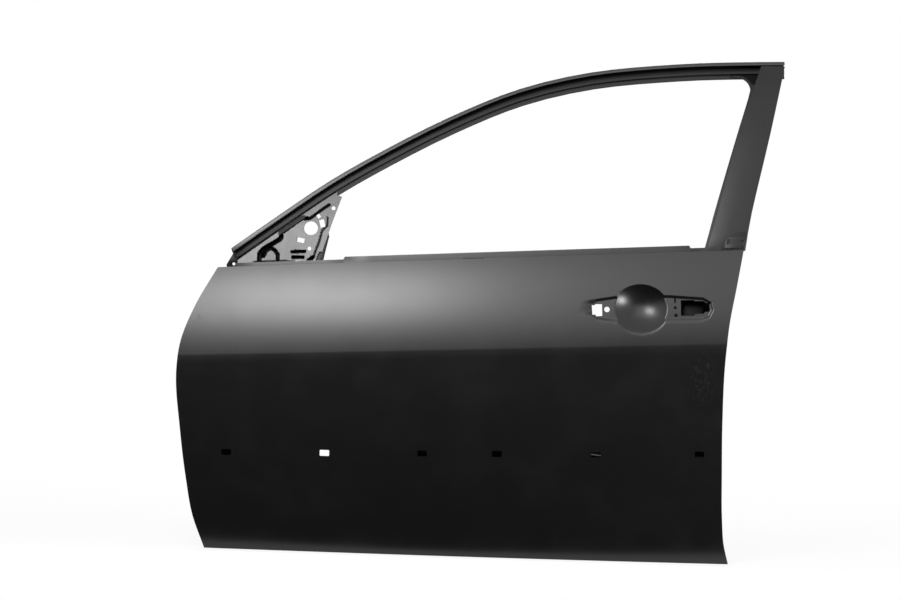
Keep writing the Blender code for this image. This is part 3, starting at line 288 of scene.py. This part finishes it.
def apply_modifier(obj, name, kind, **settings):
    """Adds a modifier with its settings and applies it."""
    pick(obj)
    modifier = obj.modifiers.new(name, kind)
    for key, value in settings.items():
        setattr(modifier, key, value)
    bpy.ops.object.modifier_apply(modifier=name)


def grid(name, columns, rows):
    """A flat sheet of faces, and how far along each point lies as whole steps."""
    deselect_all()
    bpy.ops.mesh.primitive_grid_add(x_subdivisions=columns, y_subdivisions=rows, size=2)
    sheet = bpy.context.object
    sheet.name = name
    co = coordinates(sheet)
    return sheet, (co[:, 0] + 1) / 2 * columns, (co[:, 1] + 1) / 2 * rows


# The sheet is divided finely where the handle's recess is drawn and coarsely elsewhere.
# Columns run from the front edge to the rear one, rows from the sill over the crease to the belt.
COLUMN_STEPS = [0, 56, 236, 242]
COLUMN_PLACES = [0.0, 0.738, 0.984, 1.0]
ROW_STEPS = [0, 18, 40, 54, 124, 140]
ROW_PLACES = [0.0, 0.13, 1.0, 1.3, 1.68, 2.0]
SETTLING_ROUNDS = 12

skin, column, row = grid("outer_skin_sheet", COLUMN_STEPS[-1], ROW_STEPS[-1])
share = np.interp(column, COLUMN_STEPS, COLUMN_PLACES)
level = np.interp(row, ROW_STEPS, ROW_PLACES)
x = share * BELT_REAR[0]
for _ in range(SETTLING_ROUNDS):
    z = np.where(level < 1, SILL_Z + (crease_z(x) - SILL_Z) * level,
                 crease_z(x) + (belt_z(x) - crease_z(x)) * (level - 1))
    x = along(FRONT_EDGE, z, 1) * (1 - share) + along(REAR_EDGE, z, 1) * share
move_points(skin, np.stack([x, flank_y(x, z) + recess_depth(x, z) + tuck_depth(x, z), z], -1) * MM)

# The hem: the three edges are extruded inboard and then back over the inner panel's flange.
HEM_HEIGHT = 2.9
HEM_WIDTH = 9.0
HEM_STOP = 4.0
EDGE_REACH = 3.0
LEVEL_REACH = 1.0


def border_points(obj, test):
    """Selects the open edges whose ends all pass a test of their places in mm."""
    pick(obj)
    bpy.ops.object.mode_set(mode="EDIT")
    bpy.ops.mesh.select_mode(type="EDGE")
    bpy.ops.mesh.select_all(action="DESELECT")
    bpy.ops.mesh.select_non_manifold(extend=False, use_wire=False, use_multi_face=False,
                                     use_non_contiguous=False, use_verts=False)
    bpy.ops.object.mode_set(mode="OBJECT")
    places = coordinates(obj) / MM
    for edge in obj.data.edges:
        if edge.select and not all(test(places[v]) for v in edge.vertices):
            edge.select = False
    bpy.ops.object.mode_set(mode="EDIT")


def hem_test(place):
    return place[2] < belt_z(place[0]) - HEM_STOP


border_points(skin, hem_test)
bpy.ops.mesh.extrude_region_move(TRANSFORM_OT_translate={"value": (0, HEM_HEIGHT * MM, 0)})
bpy.ops.mesh.extrude_region_move(TRANSFORM_OT_translate={"value": (0, 0, 0)})
bpy.ops.object.mode_set(mode="OBJECT")
co = coordinates(skin) / MM
fold = np.array([v.select for v in skin.data.vertices])
fx, fz = co[fold, 0], co[fold, 2]
left = fx - along(FRONT_EDGE, fz, 1) < EDGE_REACH
right = along(REAR_EDGE, fz, 1) - fx < EDGE_REACH
low = fz < SILL_Z + LEVEL_REACH
co[fold, 0] += HEM_WIDTH * (left.astype(float) - right.astype(float))
co[fold, 2] += HEM_WIDTH * low
co[fold, 1] = flank_y(co[fold, 0], co[fold, 2]) + HEM_HEIGHT
move_points(skin, co * MM)

# The top edge, turned in over the belt strip.
BELT_TURN = (6.0, 1.4)
OUTER_SIDE_Y = -20.0


def belt_test(place):
    return abs(place[2] - belt_z(place[0])) < LEVEL_REACH and place[1] < OUTER_SIDE_Y


border_points(skin, belt_test)
bpy.ops.mesh.extrude_region_move(TRANSFORM_OT_translate={
    "value": (0, BELT_TURN[0] * MM, BELT_TURN[1] * MM)})
bpy.ops.object.mode_set(mode="OBJECT")
apply_modifier(skin, "gauge", "SOLIDIFY", thickness=SKIN_GAUGE * MM, offset=-1)

# Pierced holes: six for the clips of a side moulding, and those of the outer handle.
CLIP_X = [78.7, 281.8, 482.8, 636.6, 840.7, 1054.0]
CLIP_LINE = (-205.6, 0.0272)
CLIP_SIZE = (19.5, 12.3)
CLIP_CORNER = 1.5
FRONT_SLOT = [(823.6, 104.4), (830.2, 104.6), (831.2, 101.2), (844, 102.4), (843, 126.5), (829.4, 126),
              (828, 123.8), (822, 123.7)]
LATCH_HOLE = [(1006.4, 107.9), (1033.4, 108.7), (1036.3, 112.5), (1052.4, 113.5), (1057, 117.7),
              (1065.6, 118), (1065, 135.9), (1058.6, 135.7), (1051.5, 139.6), (1034.7, 139),
              (1032.3, 141.2), (1005.6, 140)]
ROUND_HOLES = [(853.5, 116.0, 5.6), (994.2, 123.9, 3.3), (996.1, 108.4, 3.8)]
SLIT = (993.7, 138.7, 1.9, 4.6)
PUNCH_LENGTH = 120.0
FLANK_PUNCH_Y = -40.0
SKIN_SMOOTH = math.radians(50)


def punch(name, x, z, half_x, half_z, corner=0.0, sides=0, y=FLANK_PUNCH_Y):
    """A punch that stands through the door: round with that many sides, else square."""
    deselect_all()
    if sides:
        bpy.ops.mesh.primitive_cylinder_add(vertices=sides, radius=1.0, depth=PUNCH_LENGTH * MM)
        bpy.ops.transform.rotate(value=math.radians(90), orient_axis="X", center_override=(0, 0, 0))
    else:
        bpy.ops.mesh.primitive_cube_add(size=2)
    tool = bpy.context.object
    tool.name = name
    bpy.ops.object.transform_apply(location=True, rotation=True, scale=True)
    co = coordinates(tool)
    co[:, 1] = np.sign(co[:, 1]) * PUNCH_LENGTH / 2 + y
    co[:, 0] = co[:, 0] * half_x + x
    co[:, 2] = co[:, 2] * half_z + z
    move_points(tool, co * MM)
    if corner:
        bpy.ops.object.mode_set(mode="EDIT")
        bpy.ops.mesh.select_mode(type="EDGE")
        bpy.ops.mesh.select_all(action="DESELECT")
        bpy.ops.object.mode_set(mode="OBJECT")
        for edge in tool.data.edges:
            a, b = (tool.data.vertices[v].co for v in edge.vertices)
            edge.select = abs(a.y - b.y) > PUNCH_LENGTH / 2 * MM
        bpy.ops.object.mode_set(mode="EDIT")
        bpy.ops.mesh.bevel(offset=corner * MM, segments=4)
        bpy.ops.object.mode_set(mode="OBJECT")
    return tool


def shaped_punch(name, outline, y=FLANK_PUNCH_Y):
    """A punch with an outline of its own: a circle whose points go to the outline's."""
    deselect_all()
    bpy.ops.mesh.primitive_circle_add(vertices=len(outline), radius=1, fill_type="NGON")
    tool = bpy.context.object
    tool.name = name
    move_points(tool, [(px * MM, (y - PUNCH_LENGTH / 2) * MM, pz * MM) for px, pz in outline])
    bpy.ops.object.mode_set(mode="EDIT")
    bpy.ops.mesh.select_all(action="SELECT")
    bpy.ops.mesh.extrude_region_move(TRANSFORM_OT_translate={"value": (0, PUNCH_LENGTH * MM, 0)})
    bpy.ops.mesh.select_all(action="SELECT")
    bpy.ops.mesh.normals_make_consistent(inside=False)
    bpy.ops.object.mode_set(mode="OBJECT")
    return tool


def pierce(obj, tools):
    """Takes the punches out of the piece, then removes them."""
    deselect_all()
    for tool in tools:
        tool.select_set(True)
    bpy.context.view_layer.objects.active = tools[0]
    bpy.ops.object.join()
    joined = bpy.context.object
    apply_modifier(obj, "pierce", "BOOLEAN", operation="DIFFERENCE", object=joined, solver="EXACT")
    bpy.data.objects.remove(joined)


tools = [punch("clip_punch", px, CLIP_LINE[0] + CLIP_LINE[1] * px, CLIP_SIZE[0] / 2, CLIP_SIZE[1] / 2,
               corner=CLIP_CORNER) for px in CLIP_X]
tools += [punch("round_punch", px, pz, r, r, sides=24) for px, pz, r in ROUND_HOLES]
tools += [punch("slit_punch", *SLIT), shaped_punch("slot_punch", FRONT_SLOT),
          shaped_punch("latch_punch", LATCH_HOLE)]
pierce(skin, tools)

# Marks of handling in the film: centre, reach, stretch of the grain, and strength. There are two
# upright rubs, scuffs at the rear of the crease, a stain near the front and a nick at the belt.
HANDLING = [((690, 68), (7, 26), (900, 300, 60), 0.35), ((697, 75), (4, 16), (900, 300, 60), 0.25),
            ((1056, -18), (34, 64), (160, 160, 90), 0.3), ((12, 71), (14, 18), (120, 120, 120), 0.3),
            ((796, 168), (7, 5), (260, 260, 260), 0.4)]
pick(skin)
bpy.ops.object.shade_smooth_by_angle(angle=SKIN_SMOOTH)
skin.data.materials.clear()
skin.data.materials.append(primer("skin_primer_film", "#121213", "#303031", 0.32, dust=0.1, marks=0.3,
                                  handling=HANDLING))
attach(skin, "root")
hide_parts("outer_skin")


# ---------------------------------------------------------------------------
# Inner panel, window frame, belt strips, plates, glass channels, beam and nuts: pressed
# and roll-formed steel, spot welded together and dipped as one. Each is its solid with
# the triangles joined and its bends rounded. Three mastic pads tie the skin to the beam.
BEND_RADIUS = 0.35
BEND_ANGLE = 30.0
JOIN_REACH = 0.02
FLAT_ANGLE = math.radians(6)
SHAPE_ANGLE = math.radians(60)


def dressed_copy(node, name, mat, radius=BEND_RADIUS):
    """A joined copy of a solid with rounded bends, shown in its place."""
    piece = bpy.data.objects.new(name, nodes[node].data.copy())
    bpy.context.scene.collection.objects.link(piece)
    pick(piece)
    bpy.ops.object.mode_set(mode="EDIT")
    bpy.ops.mesh.select_all(action="SELECT")
    bpy.ops.mesh.remove_doubles(threshold=JOIN_REACH * MM)
    bpy.ops.mesh.tris_convert_to_quads(face_threshold=FLAT_ANGLE, shape_threshold=SHAPE_ANGLE)
    bpy.ops.object.mode_set(mode="OBJECT")
    if radius:
        apply_modifier(piece, "bend", "BEVEL", width=radius * MM, segments=2, limit_method="ANGLE",
                       angle_limit=math.radians(BEND_ANGLE), use_clamp_overlap=True)
    pick(piece)
    bpy.ops.object.shade_smooth_by_angle(angle=math.radians(BEND_ANGLE))
    piece.data.materials.clear()
    piece.data.materials.append(mat)
    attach(piece, "root")
    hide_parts(node)
    return piece


# The film is dull on the roll-formed frame and the pillar, and glossier and paler on pressed
# panels and small plates. The mastic is a dull grey rubber.
frame_film = primer("frame_primer_film", "#18181a", "#3a3a3b", 0.45, dust=0.15, gloss=0.25)
panel_film = primer("panel_primer_film", "#1c1c1d", "#3c3c3d", 0.36, dust=0.2)
bracket_film = primer("bracket_primer_film", "#2a2a2b", "#4a4a4b", 0.34, dust=0.2)
plate_film = primer("pillar_primer_film", "#1a1a1b", "#363637", 0.4, dust=0.15, gloss=0.3)
mastic = primer("mastic_rubber", "#2c2c2b", "#4b4b49", 0.85, dust=0.5)

dressed_copy("inner_panel", "inner_panel_sheet", panel_film, radius=0)
sash = dressed_copy("sash_upper", "sash_upper_section", frame_film, radius=0.3)
dressed_copy("sash_rear", "sash_rear_section", frame_film, radius=0.3)
dressed_copy("pillar_plate", "pillar_plate_sheet", plate_film, radius=0.3)
for node in ("sash_front_bracket", "front_lower_sash", "rear_lower_sash"):
    dressed_copy(node, node + "_sheet", frame_film, radius=0.25)
dressed_copy("pillar_foot_bracket", "pillar_foot_sheet", plate_film, radius=0.25)
dressed_copy("outer_belt_reinforcement", "outer_belt_strip", panel_film, radius=0.25)
for node in ("inner_belt_reinforcement", "upper_hinge_reinforcement", "lower_hinge_reinforcement",
             "check_strap_reinforcement", "latch_reinforcement", "front_sash_strap",
             "rear_sash_strap", "pillar_sash_strap", "beam_bracket_front", "beam_bracket_rear"):
    dressed_copy(node, node + "_plate", bracket_film, radius=0.3)
dressed_copy("impact_beam", "impact_beam_tube", panel_film)
for node in ("upper_hinge_nut_1", "upper_hinge_nut_2", "lower_hinge_nut_1", "lower_hinge_nut_2",
             "check_nut_1", "check_nut_2", "latch_nut_1", "latch_nut_2", "latch_nut_3"):
    dressed_copy(node, node + "_steel", bracket_film, radius=0.5)
for node in ("mastic_pad_1", "mastic_pad_2", "mastic_pad_3"):
    dressed_copy(node, node + "_bead", mastic, radius=1.5)


# ---------------------------------------------------------------------------
# Mirror corner: a thin steel sheet closes the corner under the arch, and the thicker
# mirror plate is spot welded on it. Channels, a horseshoe bead and pockets are drawn
# into both, and the plate is pierced for the mirror's cable and bolts.
FRAME_SETBACK = 10.0
FRAME_LEAN = 0.25
FRAME_RADIUS = 1300.0
SAIL_DEPTH = 19.3
SAIL_REST_Y = 48.9
SAIL_BEND = (12.0, 24.0)
SAIL_BEND_FRONT = (112.0, 12.0)
SAIL_GAUGE = 0.8
SAIL_OUTLINE = [(84, 172), (118, 166), (203, 172), (208, 268), (214.5, 275.2), (250.1, 301.9),
                (285.6, 327.2), (285.6, 345), (250.1, 319.7), (214.5, 293), (179.7, 266.6),
                (148.3, 242.9), (117.8, 219.7), (84, 194)]
PLATE_DEPTH = 17.4
PLATE_GAUGE = 1.6
PLATE_OUTLINE = [(187, 197), (257, 197), (260, 218), (277.7, 277.7), (296.2, 334.6), (289, 337),
                 (240, 299), (190, 262)]
# Each drawn form: its line, half its width, and how far it goes inboard.
DRAWN = [([(226, 286), (217, 288), (205, 280.5), (193.5, 270.6), (171, 254)], 4.4, 13.0),
         ([(172.8, 247), (170.4, 241), (156.8, 232), (136.4, 219), (129, 208.6), (129.5, 190)], 5.0, 15.0),
         ([(137, 203.6), (142.6, 215.9), (152, 221.4), (160.8, 217.4), (167.1, 208.1), (167.8, 196)],
          4.0, 13.0),
         ([(197, 215.1), (223.2, 216.8)], 3.6, 13.0), ([(199, 204), (220, 204.6)], 3.8, 12.0),
         ([(232, 198), (241, 205.2)], 4.0, 13.0), ([(252, 198), (257, 213)], 4.4, 13.0),
         ([(267.6, 290), (268.4, 273.7), (257.5, 261.2), (252.8, 238.5), (245.7, 217.5), (242.6, 204)],
          2.3, 2.2),
         ([(270, 317), (256.5, 307.4), (243, 296), (230, 286)], 3.0, 5.0)]
DRAWN_WALL = 2.6
# Faces deeper in a channel than this get the black painted shade.
SHADED_DEPTH = 1.2
PLATE_ROUND_HOLES = [(234.1, 265.9, 14.4), (279.4, 309.7, 4.1), (232.9, 223.0, 3.9)]
PLATE_SQUARE_HOLES = [(257.2, 276.8, 10, 16, 15), (213.1, 240.2, 17, 9.5, -10), (249.0, 291.8, 7, 8, 40)]
CORNER_STEP = 1.5
CORNER_PUNCH_Y = 45.0
SHEET_SMOOTH = math.radians(35)


def behind_frame(x, z, depth):
    """Y of the surface that lies a depth behind the window frame's outer face."""
    rise = z - belt_z(x)
    lean = FRAME_LEAN + rise / FRAME_RADIUS
    return FRAME_SETBACK + FRAME_LEAN * rise + rise ** 2 / (2 * FRAME_RADIUS) + depth * np.hypot(1, lean)


def drawn_depth(x, z):
    return np.max([depth * ease((half - line_distance(*np.array([path[:-1], path[1:]], float), x, z))
                                / DRAWN_WALL) for path, half, depth in DRAWN], axis=0)


def sail_form(x, z):
    """The sheet's outer face: beside the frame above, and turned to the inner panel below."""
    turned = (ease((belt_z(x) + SAIL_BEND[0] - z) / SAIL_BEND[1])
              * ease((x - SAIL_BEND_FRONT[0]) / SAIL_BEND_FRONT[1]))
    return (1 - turned) * behind_frame(x, z, SAIL_DEPTH) + turned * SAIL_REST_Y + drawn_depth(x, z)


def plate_form(x, z):
    return behind_frame(x, z, PLATE_DEPTH) + drawn_depth(x, z)


def turned_box(x, z, length, height, turn):
    """Corners of a rectangle turned by degrees."""
    c, s = math.cos(math.radians(turn)), math.sin(math.radians(turn))
    return [(x + u * length / 2 * c - v * height / 2 * s, z + u * length / 2 * s + v * height / 2 * c)
            for u, v in ((-1, -1), (1, -1), (1, 1), (-1, 1))]


def drawn_sheet(name, outline, form, gauge, node, mat, y=CORNER_PUNCH_Y):
    """A drawn sheet: a fine grid on its form, given its gauge and trimmed to its outline."""
    low, high = np.min(outline, axis=0), np.max(outline, axis=0)
    columns, rows = (int(v / CORNER_STEP) + 2 for v in high - low)
    sheet, column, row = grid(name, columns, rows)
    x = low[0] + (column - 0.5) * CORNER_STEP
    z = low[1] + (row - 0.5) * CORNER_STEP
    move_points(sheet, np.stack([x, form(x, z), z], -1) * MM)
    apply_modifier(sheet, "gauge", "SOLIDIFY", thickness=gauge * MM, offset=-1)
    trim = shaped_punch(name + "_trim", outline, y=y)
    apply_modifier(sheet, "trim", "BOOLEAN", operation="INTERSECT", object=trim, solver="EXACT")
    bpy.data.objects.remove(trim)
    sheet.data.materials.clear()
    sheet.data.materials.append(mat)
    # The second material is black painted shade for deep channels and hidden corners.
    sheet.data.materials.append(channel_painted_shade)
    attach(sheet, "root")
    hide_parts(node)
    return sheet


def faces_of(piece, key):
    """X, y and z of the faces' middles, in metres, or of their normals."""
    values = np.empty(len(piece.data.polygons) * 3)
    piece.data.polygons.foreach_get(key, values)
    return values.reshape(-1, 3).T


def paint_shade_where(sheet, shaded):
    """The faces whose middle lies where the test holds get the second material, the black painted shade.
    """
    x, _, z = faces_of(sheet, "center") / MM
    sheet.data.polygons.foreach_set("material_index", shaded(x, z).astype(np.int32))


def in_channel(x, z):
    return drawn_depth(x, z) > SHADED_DEPTH


# The mirror corner has the palest film. Black painted shade is put into its deep channels, where shade
# falls.
sail_film = primer("sail_primer_film", "#2a2a2a", "#505050", 0.34, dust=0.25)
channel_painted_shade = primer("channel_painted_shade", "#050505", "#101010", 0.6, dust=0.05, gloss=0.1)
sail = drawn_sheet("sail_panel_sheet", SAIL_OUTLINE, sail_form, SAIL_GAUGE, "sail_panel", sail_film)
plate = drawn_sheet("mirror_bracket_plate", PLATE_OUTLINE, plate_form, PLATE_GAUGE, "mirror_bracket",
                    sail_film)
tools = [punch("plate_punch", px, pz, r, r, sides=32, y=CORNER_PUNCH_Y)
         for px, pz, r in PLATE_ROUND_HOLES]
tools += [shaped_punch("plate_punch", turned_box(*box), y=CORNER_PUNCH_Y)
          for box in PLATE_SQUARE_HOLES]
pierce(plate, tools)
for piece in (sail, plate):
    paint_shade_where(piece, in_channel)
    pick(piece)
    bpy.ops.object.shade_smooth_by_angle(angle=SHEET_SMOOTH)


# ---------------------------------------------------------------------------
# Corner gusset: a steel plate behind the rear top corner of the window frame, with a
# round inner edge. Its lip is primed; the corner behind the lip is painted black as shade.
GUSSET_CORNER = (1157.0, 620.0)
GUSSET_FILLET = 27.0
GUSSET_LIP = 6.0
GUSSET_GAUGE = 1.5
GUSSET_HIDDEN = [(0, -59), (27, -61), (39, 25), (-42, 21), (-42, 0)]
GUSSET_PUNCH_Y = 175.0
GUSSET_MIDDLE = (GUSSET_CORNER[0] - GUSSET_FILLET, GUSSET_CORNER[1] - GUSSET_FILLET)


def gusset_outline():
    """Its hidden corners, counted from the visible one, then the round edge in place of that."""
    hidden = [(GUSSET_CORNER[0] + u, GUSSET_CORNER[1] + v) for u, v in GUSSET_HIDDEN]
    return hidden + [(GUSSET_MIDDLE[0] + GUSSET_FILLET * math.sin(math.radians(a)),
                      GUSSET_MIDDLE[1] + GUSSET_FILLET * math.cos(math.radians(a)))
                     for a in range(0, 91, 10)]


def gusset_form(x, z):
    return behind_frame(x, z, SAIL_DEPTH)


def behind_lip(x, z):
    return np.hypot(x - GUSSET_MIDDLE[0], z - GUSSET_MIDDLE[1]) > GUSSET_FILLET + GUSSET_LIP


gusset = drawn_sheet("corner_gusset_sheet", gusset_outline(), gusset_form, GUSSET_GAUGE,
                     "sash_corner_gusset", plate_film, y=GUSSET_PUNCH_Y)
# The corner beyond the lip gets the black painted shade.
paint_shade_where(gusset, behind_lip)

# The frame's foremost lip is rolled to a smoother face than the channel beside it, and its outward faces
# get a paler film: painted light on the lit lip.
LIP_REACH = 2.0
OUTWARD = -0.3
sash.data.materials.append(primer("lip_film_painted_light", "#2c2c2d", "#4c4c4d", 0.36, dust=0.1))
x, y, z = faces_of(sash, "center") / MM
lit_lip_faces = (y - behind_frame(x, z, 0) < LIP_REACH) & (faces_of(sash, "normal")[1] < OUTWARD)
sash.data.polygons.foreach_set("material_index", lit_lip_faces.astype(np.int32))


# ---------------------------------------------------------------------------
# Handle reinforcement: a steel plate spot welded behind the recess. It is open round
# the cup and behind the slot, the latch's hole and the front round hole; the slit and
# the two rear holes end blind on it.
HANDLE_CORNERS = [(802, 78), (1082, 78), (1082, 176), (802, 176)]
HANDLE_CORNER_CUT = 8.0
HANDLE_PLATE_DEPTH = 4.8
HANDLE_PLATE_GAUGE = 1.0
HANDLE_ROOM = 1.2
CUP_ROOM = 3.0


def cut_corners(corners, cut):
    """The outline of a box with its corners cut off."""
    out = []
    for k, (x, z) in enumerate(corners):
        for other in (corners[k - 1], corners[(k + 1) % len(corners)]):
            length = math.dist((x, z), other)
            out.append((x + (other[0] - x) * cut / length, z + (other[1] - z) * cut / length))
    return out


def widened(outline, room):
    """The outline moved away from its middle, with room on every side."""
    low, high = np.min(outline, axis=0), np.max(outline, axis=0)
    middle = (low + high) / 2
    share = 1 + room / ((high - low) / 2)
    return [tuple(middle + (np.array(p) - middle) * share) for p in outline]


def handle_plate_form(x, z):
    return flank_y(x, z) + HANDLE_PLATE_DEPTH


# A matt, nearly black film on the plate behind the recess: painted shade, so that the holes over it read
# dark.
painted_shade_primer = primer("handle_plate_painted_shade", "#060606", "#141414", 0.6, dust=0.05, gloss=0.1)
reinforcement = drawn_sheet("handle_reinforcement_plate", cut_corners(HANDLE_CORNERS, HANDLE_CORNER_CUT),
                            handle_plate_form, HANDLE_PLATE_GAUGE, "handle_reinforcement", painted_shade_primer,
                            y=FLANK_PUNCH_Y)
tools = [punch("cup_room", *CUP_CENTRE, CUP_HALF[0] + CUP_ROOM, CUP_HALF[1] + CUP_ROOM, sides=48),
         punch("round_room", *ROUND_HOLES[0][:2], ROUND_HOLES[0][2] + HANDLE_ROOM,
               ROUND_HOLES[0][2] + HANDLE_ROOM, sides=24),
         shaped_punch("slot_room", widened(FRONT_SLOT, HANDLE_ROOM)),
         shaped_punch("latch_room", widened(LATCH_HOLE, HANDLE_ROOM))]
pierce(reinforcement, tools)
pick(reinforcement)
bpy.ops.object.shade_smooth_by_angle(angle=SHEET_SMOOTH)


# ---------------------------------------------------------------------------
# Studio paper: a pale floor from the door's foot backwards, with the door's shadow. The
# world is plain white where the camera, gloss or glass looks at it, and dim as a lamp.
FLOOR_Z = SILL_Z * MM - 0.001
FLOOR_FRONT = -0.055
FLOOR_REAR = 4.0
FLOOR_HALF = 7.0
STUDIO_MIDDLE = 0.5
PAPER_GLOW = 0.85
PAPER_FADE = (0.8, 3.0)
AMBIENT = 0.12


def seen(tree):
    """One where the ray comes from the camera, from gloss or through glass, else zero."""
    path = add(tree, "ShaderNodeLightPath")
    mirror = add(tree, "ShaderNodeMath", {"operation": "MAXIMUM"},
                 {0: path.outputs["Is Glossy Ray"], 1: path.outputs["Is Transmission Ray"]})
    return add(tree, "ShaderNodeMath", {"operation": "MAXIMUM"},
               {0: path.outputs["Is Camera Ray"], 1: mirror.outputs[0]}).outputs[0]


def studio_paper():
    """White paper: lit by the lamps, with part of its white given where it is seen.

    It runs into the white background at a distance from the door.
    """
    mat = bpy.data.materials.new("studio_paper")
    mat.use_nodes = True
    tree = mat.node_tree
    tree.nodes.clear()
    place = add(tree, "ShaderNodeTexCoord").outputs["Object"]
    far = add(tree, "ShaderNodeVectorMath", {"operation": "LENGTH"}, {0: place})
    fade = add(tree, "ShaderNodeMapRange", {"From Min": PAPER_FADE[0], "From Max": PAPER_FADE[1],
                                            "To Min": PAPER_GLOW}, {"Value": far.outputs["Value"]})
    share = add(tree, "ShaderNodeMath", {"operation": "MULTIPLY"},
                {0: seen(tree), 1: fade.outputs[0]})
    paper = add(tree, "ShaderNodeBsdfDiffuse", {"Color": linear("#f2f2f2")})
    white = add(tree, "ShaderNodeEmission", {"Strength": 1.0})
    mixed = add(tree, "ShaderNodeMixShader", {},
                {0: share.outputs[0], 1: paper.outputs[0], 2: white.outputs[0]})
    add(tree, "ShaderNodeOutputMaterial", {}, {"Surface": mixed.outputs[0]})
    return mat


deselect_all()
bpy.ops.mesh.primitive_plane_add(size=2)
floor = bpy.context.object
floor.name = "studio_floor"
move_points(floor, [(px * FLOOR_HALF + STUDIO_MIDDLE, FLOOR_FRONT if py < 0 else FLOOR_REAR, FLOOR_Z)
                    for px, py, _ in coordinates(floor)])
floor.data.materials.append(studio_paper())

world = bpy.data.worlds.new("studio")
bpy.context.scene.world = world
world.use_nodes = True
tree = world.node_tree
tree.nodes.clear()
ambient = add(tree, "ShaderNodeBackground", {"Color": linear("#ffffff"), "Strength": AMBIENT})
white = add(tree, "ShaderNodeBackground", {"Color": linear("#ffffff"), "Strength": 1.0})
sky = add(tree, "ShaderNodeMixShader", {}, {0: seen(tree), 1: ambient.outputs[0],
                                            2: white.outputs[0]})
add(tree, "ShaderNodeOutputWorld", {}, {"Surface": sky.outputs[0]})


# ---------------------------------------------------------------------------
# Black cloth of the studio, hung behind the camera and laid on the floor before the
# door. The camera doesn't see it, but the gloss of the flank mirrors it, which is why
# the door looks so dark.
CLOTH_FRONT = -8.0
CLOTH_TOP = 1.9
CLOTH_HALF = 6.5

cloth, _, row = grid("studio_cloth", 1, 2)
move_points(cloth, np.stack([coordinates(cloth)[:, 0] * CLOTH_HALF + STUDIO_MIDDLE,
                             np.where(row > 1, FLOOR_FRONT, CLOTH_FRONT),
                             np.where(row < 1, CLOTH_TOP, FLOOR_Z)], -1))
black = bpy.data.materials.new("studio_black_cloth")
black.use_nodes = True
tree = black.node_tree
tree.nodes.clear()
felt = add(tree, "ShaderNodeBsdfDiffuse", {"Color": linear("#101010")})
add(tree, "ShaderNodeOutputMaterial", {}, {"Surface": felt.outputs[0]})
cloth.data.materials.append(black)
cloth.visible_camera = False


# ---------------------------------------------------------------------------
# Lamps: one soft box that gives the crowned flank its bright band, a small one at the
# right that the cup mirrors, a wide dim one over the door, and one at its cabin side.
# Each has its name, place, the point that it faces, its size in metres and its watts.
LAMPS = [("band_lamp", (-0.25, -2.4, 1.81), (0.25, -0.06, 0.125), (1.1, 1.05), 65),
         ("side_lamp", (2.95, -0.95, 0.0), (0.92, -0.05, 0.12), (0.5, 0.6), 38),
         ("ceiling_panel", (0.3, -3.3, 2.7), (0.55, -0.05, 0.1), (4.5, 3.0), 50),
         ("cabin_lamp", (0.2, 3.0, 2.0), (0.5, 0, 0.1), (2.5, 1.6), 90)]


def soft_box(name, place, target, size, power):
    """A soft lamp that faces the target."""
    deselect_all()
    bpy.ops.object.light_add(type="AREA", location=place)
    lamp = bpy.context.object
    lamp.name = name
    lamp.data.shape = "RECTANGLE"
    lamp.data.size, lamp.data.size_y = size
    lamp.data.energy = power
    lamp.rotation_euler = (Vector(target) - Vector(place)).to_track_quat("-Z", "Y").to_euler()


for lamp in LAMPS:
    soft_box(*lamp)

bpy.context.scene.view_settings.view_transform = "Standard"
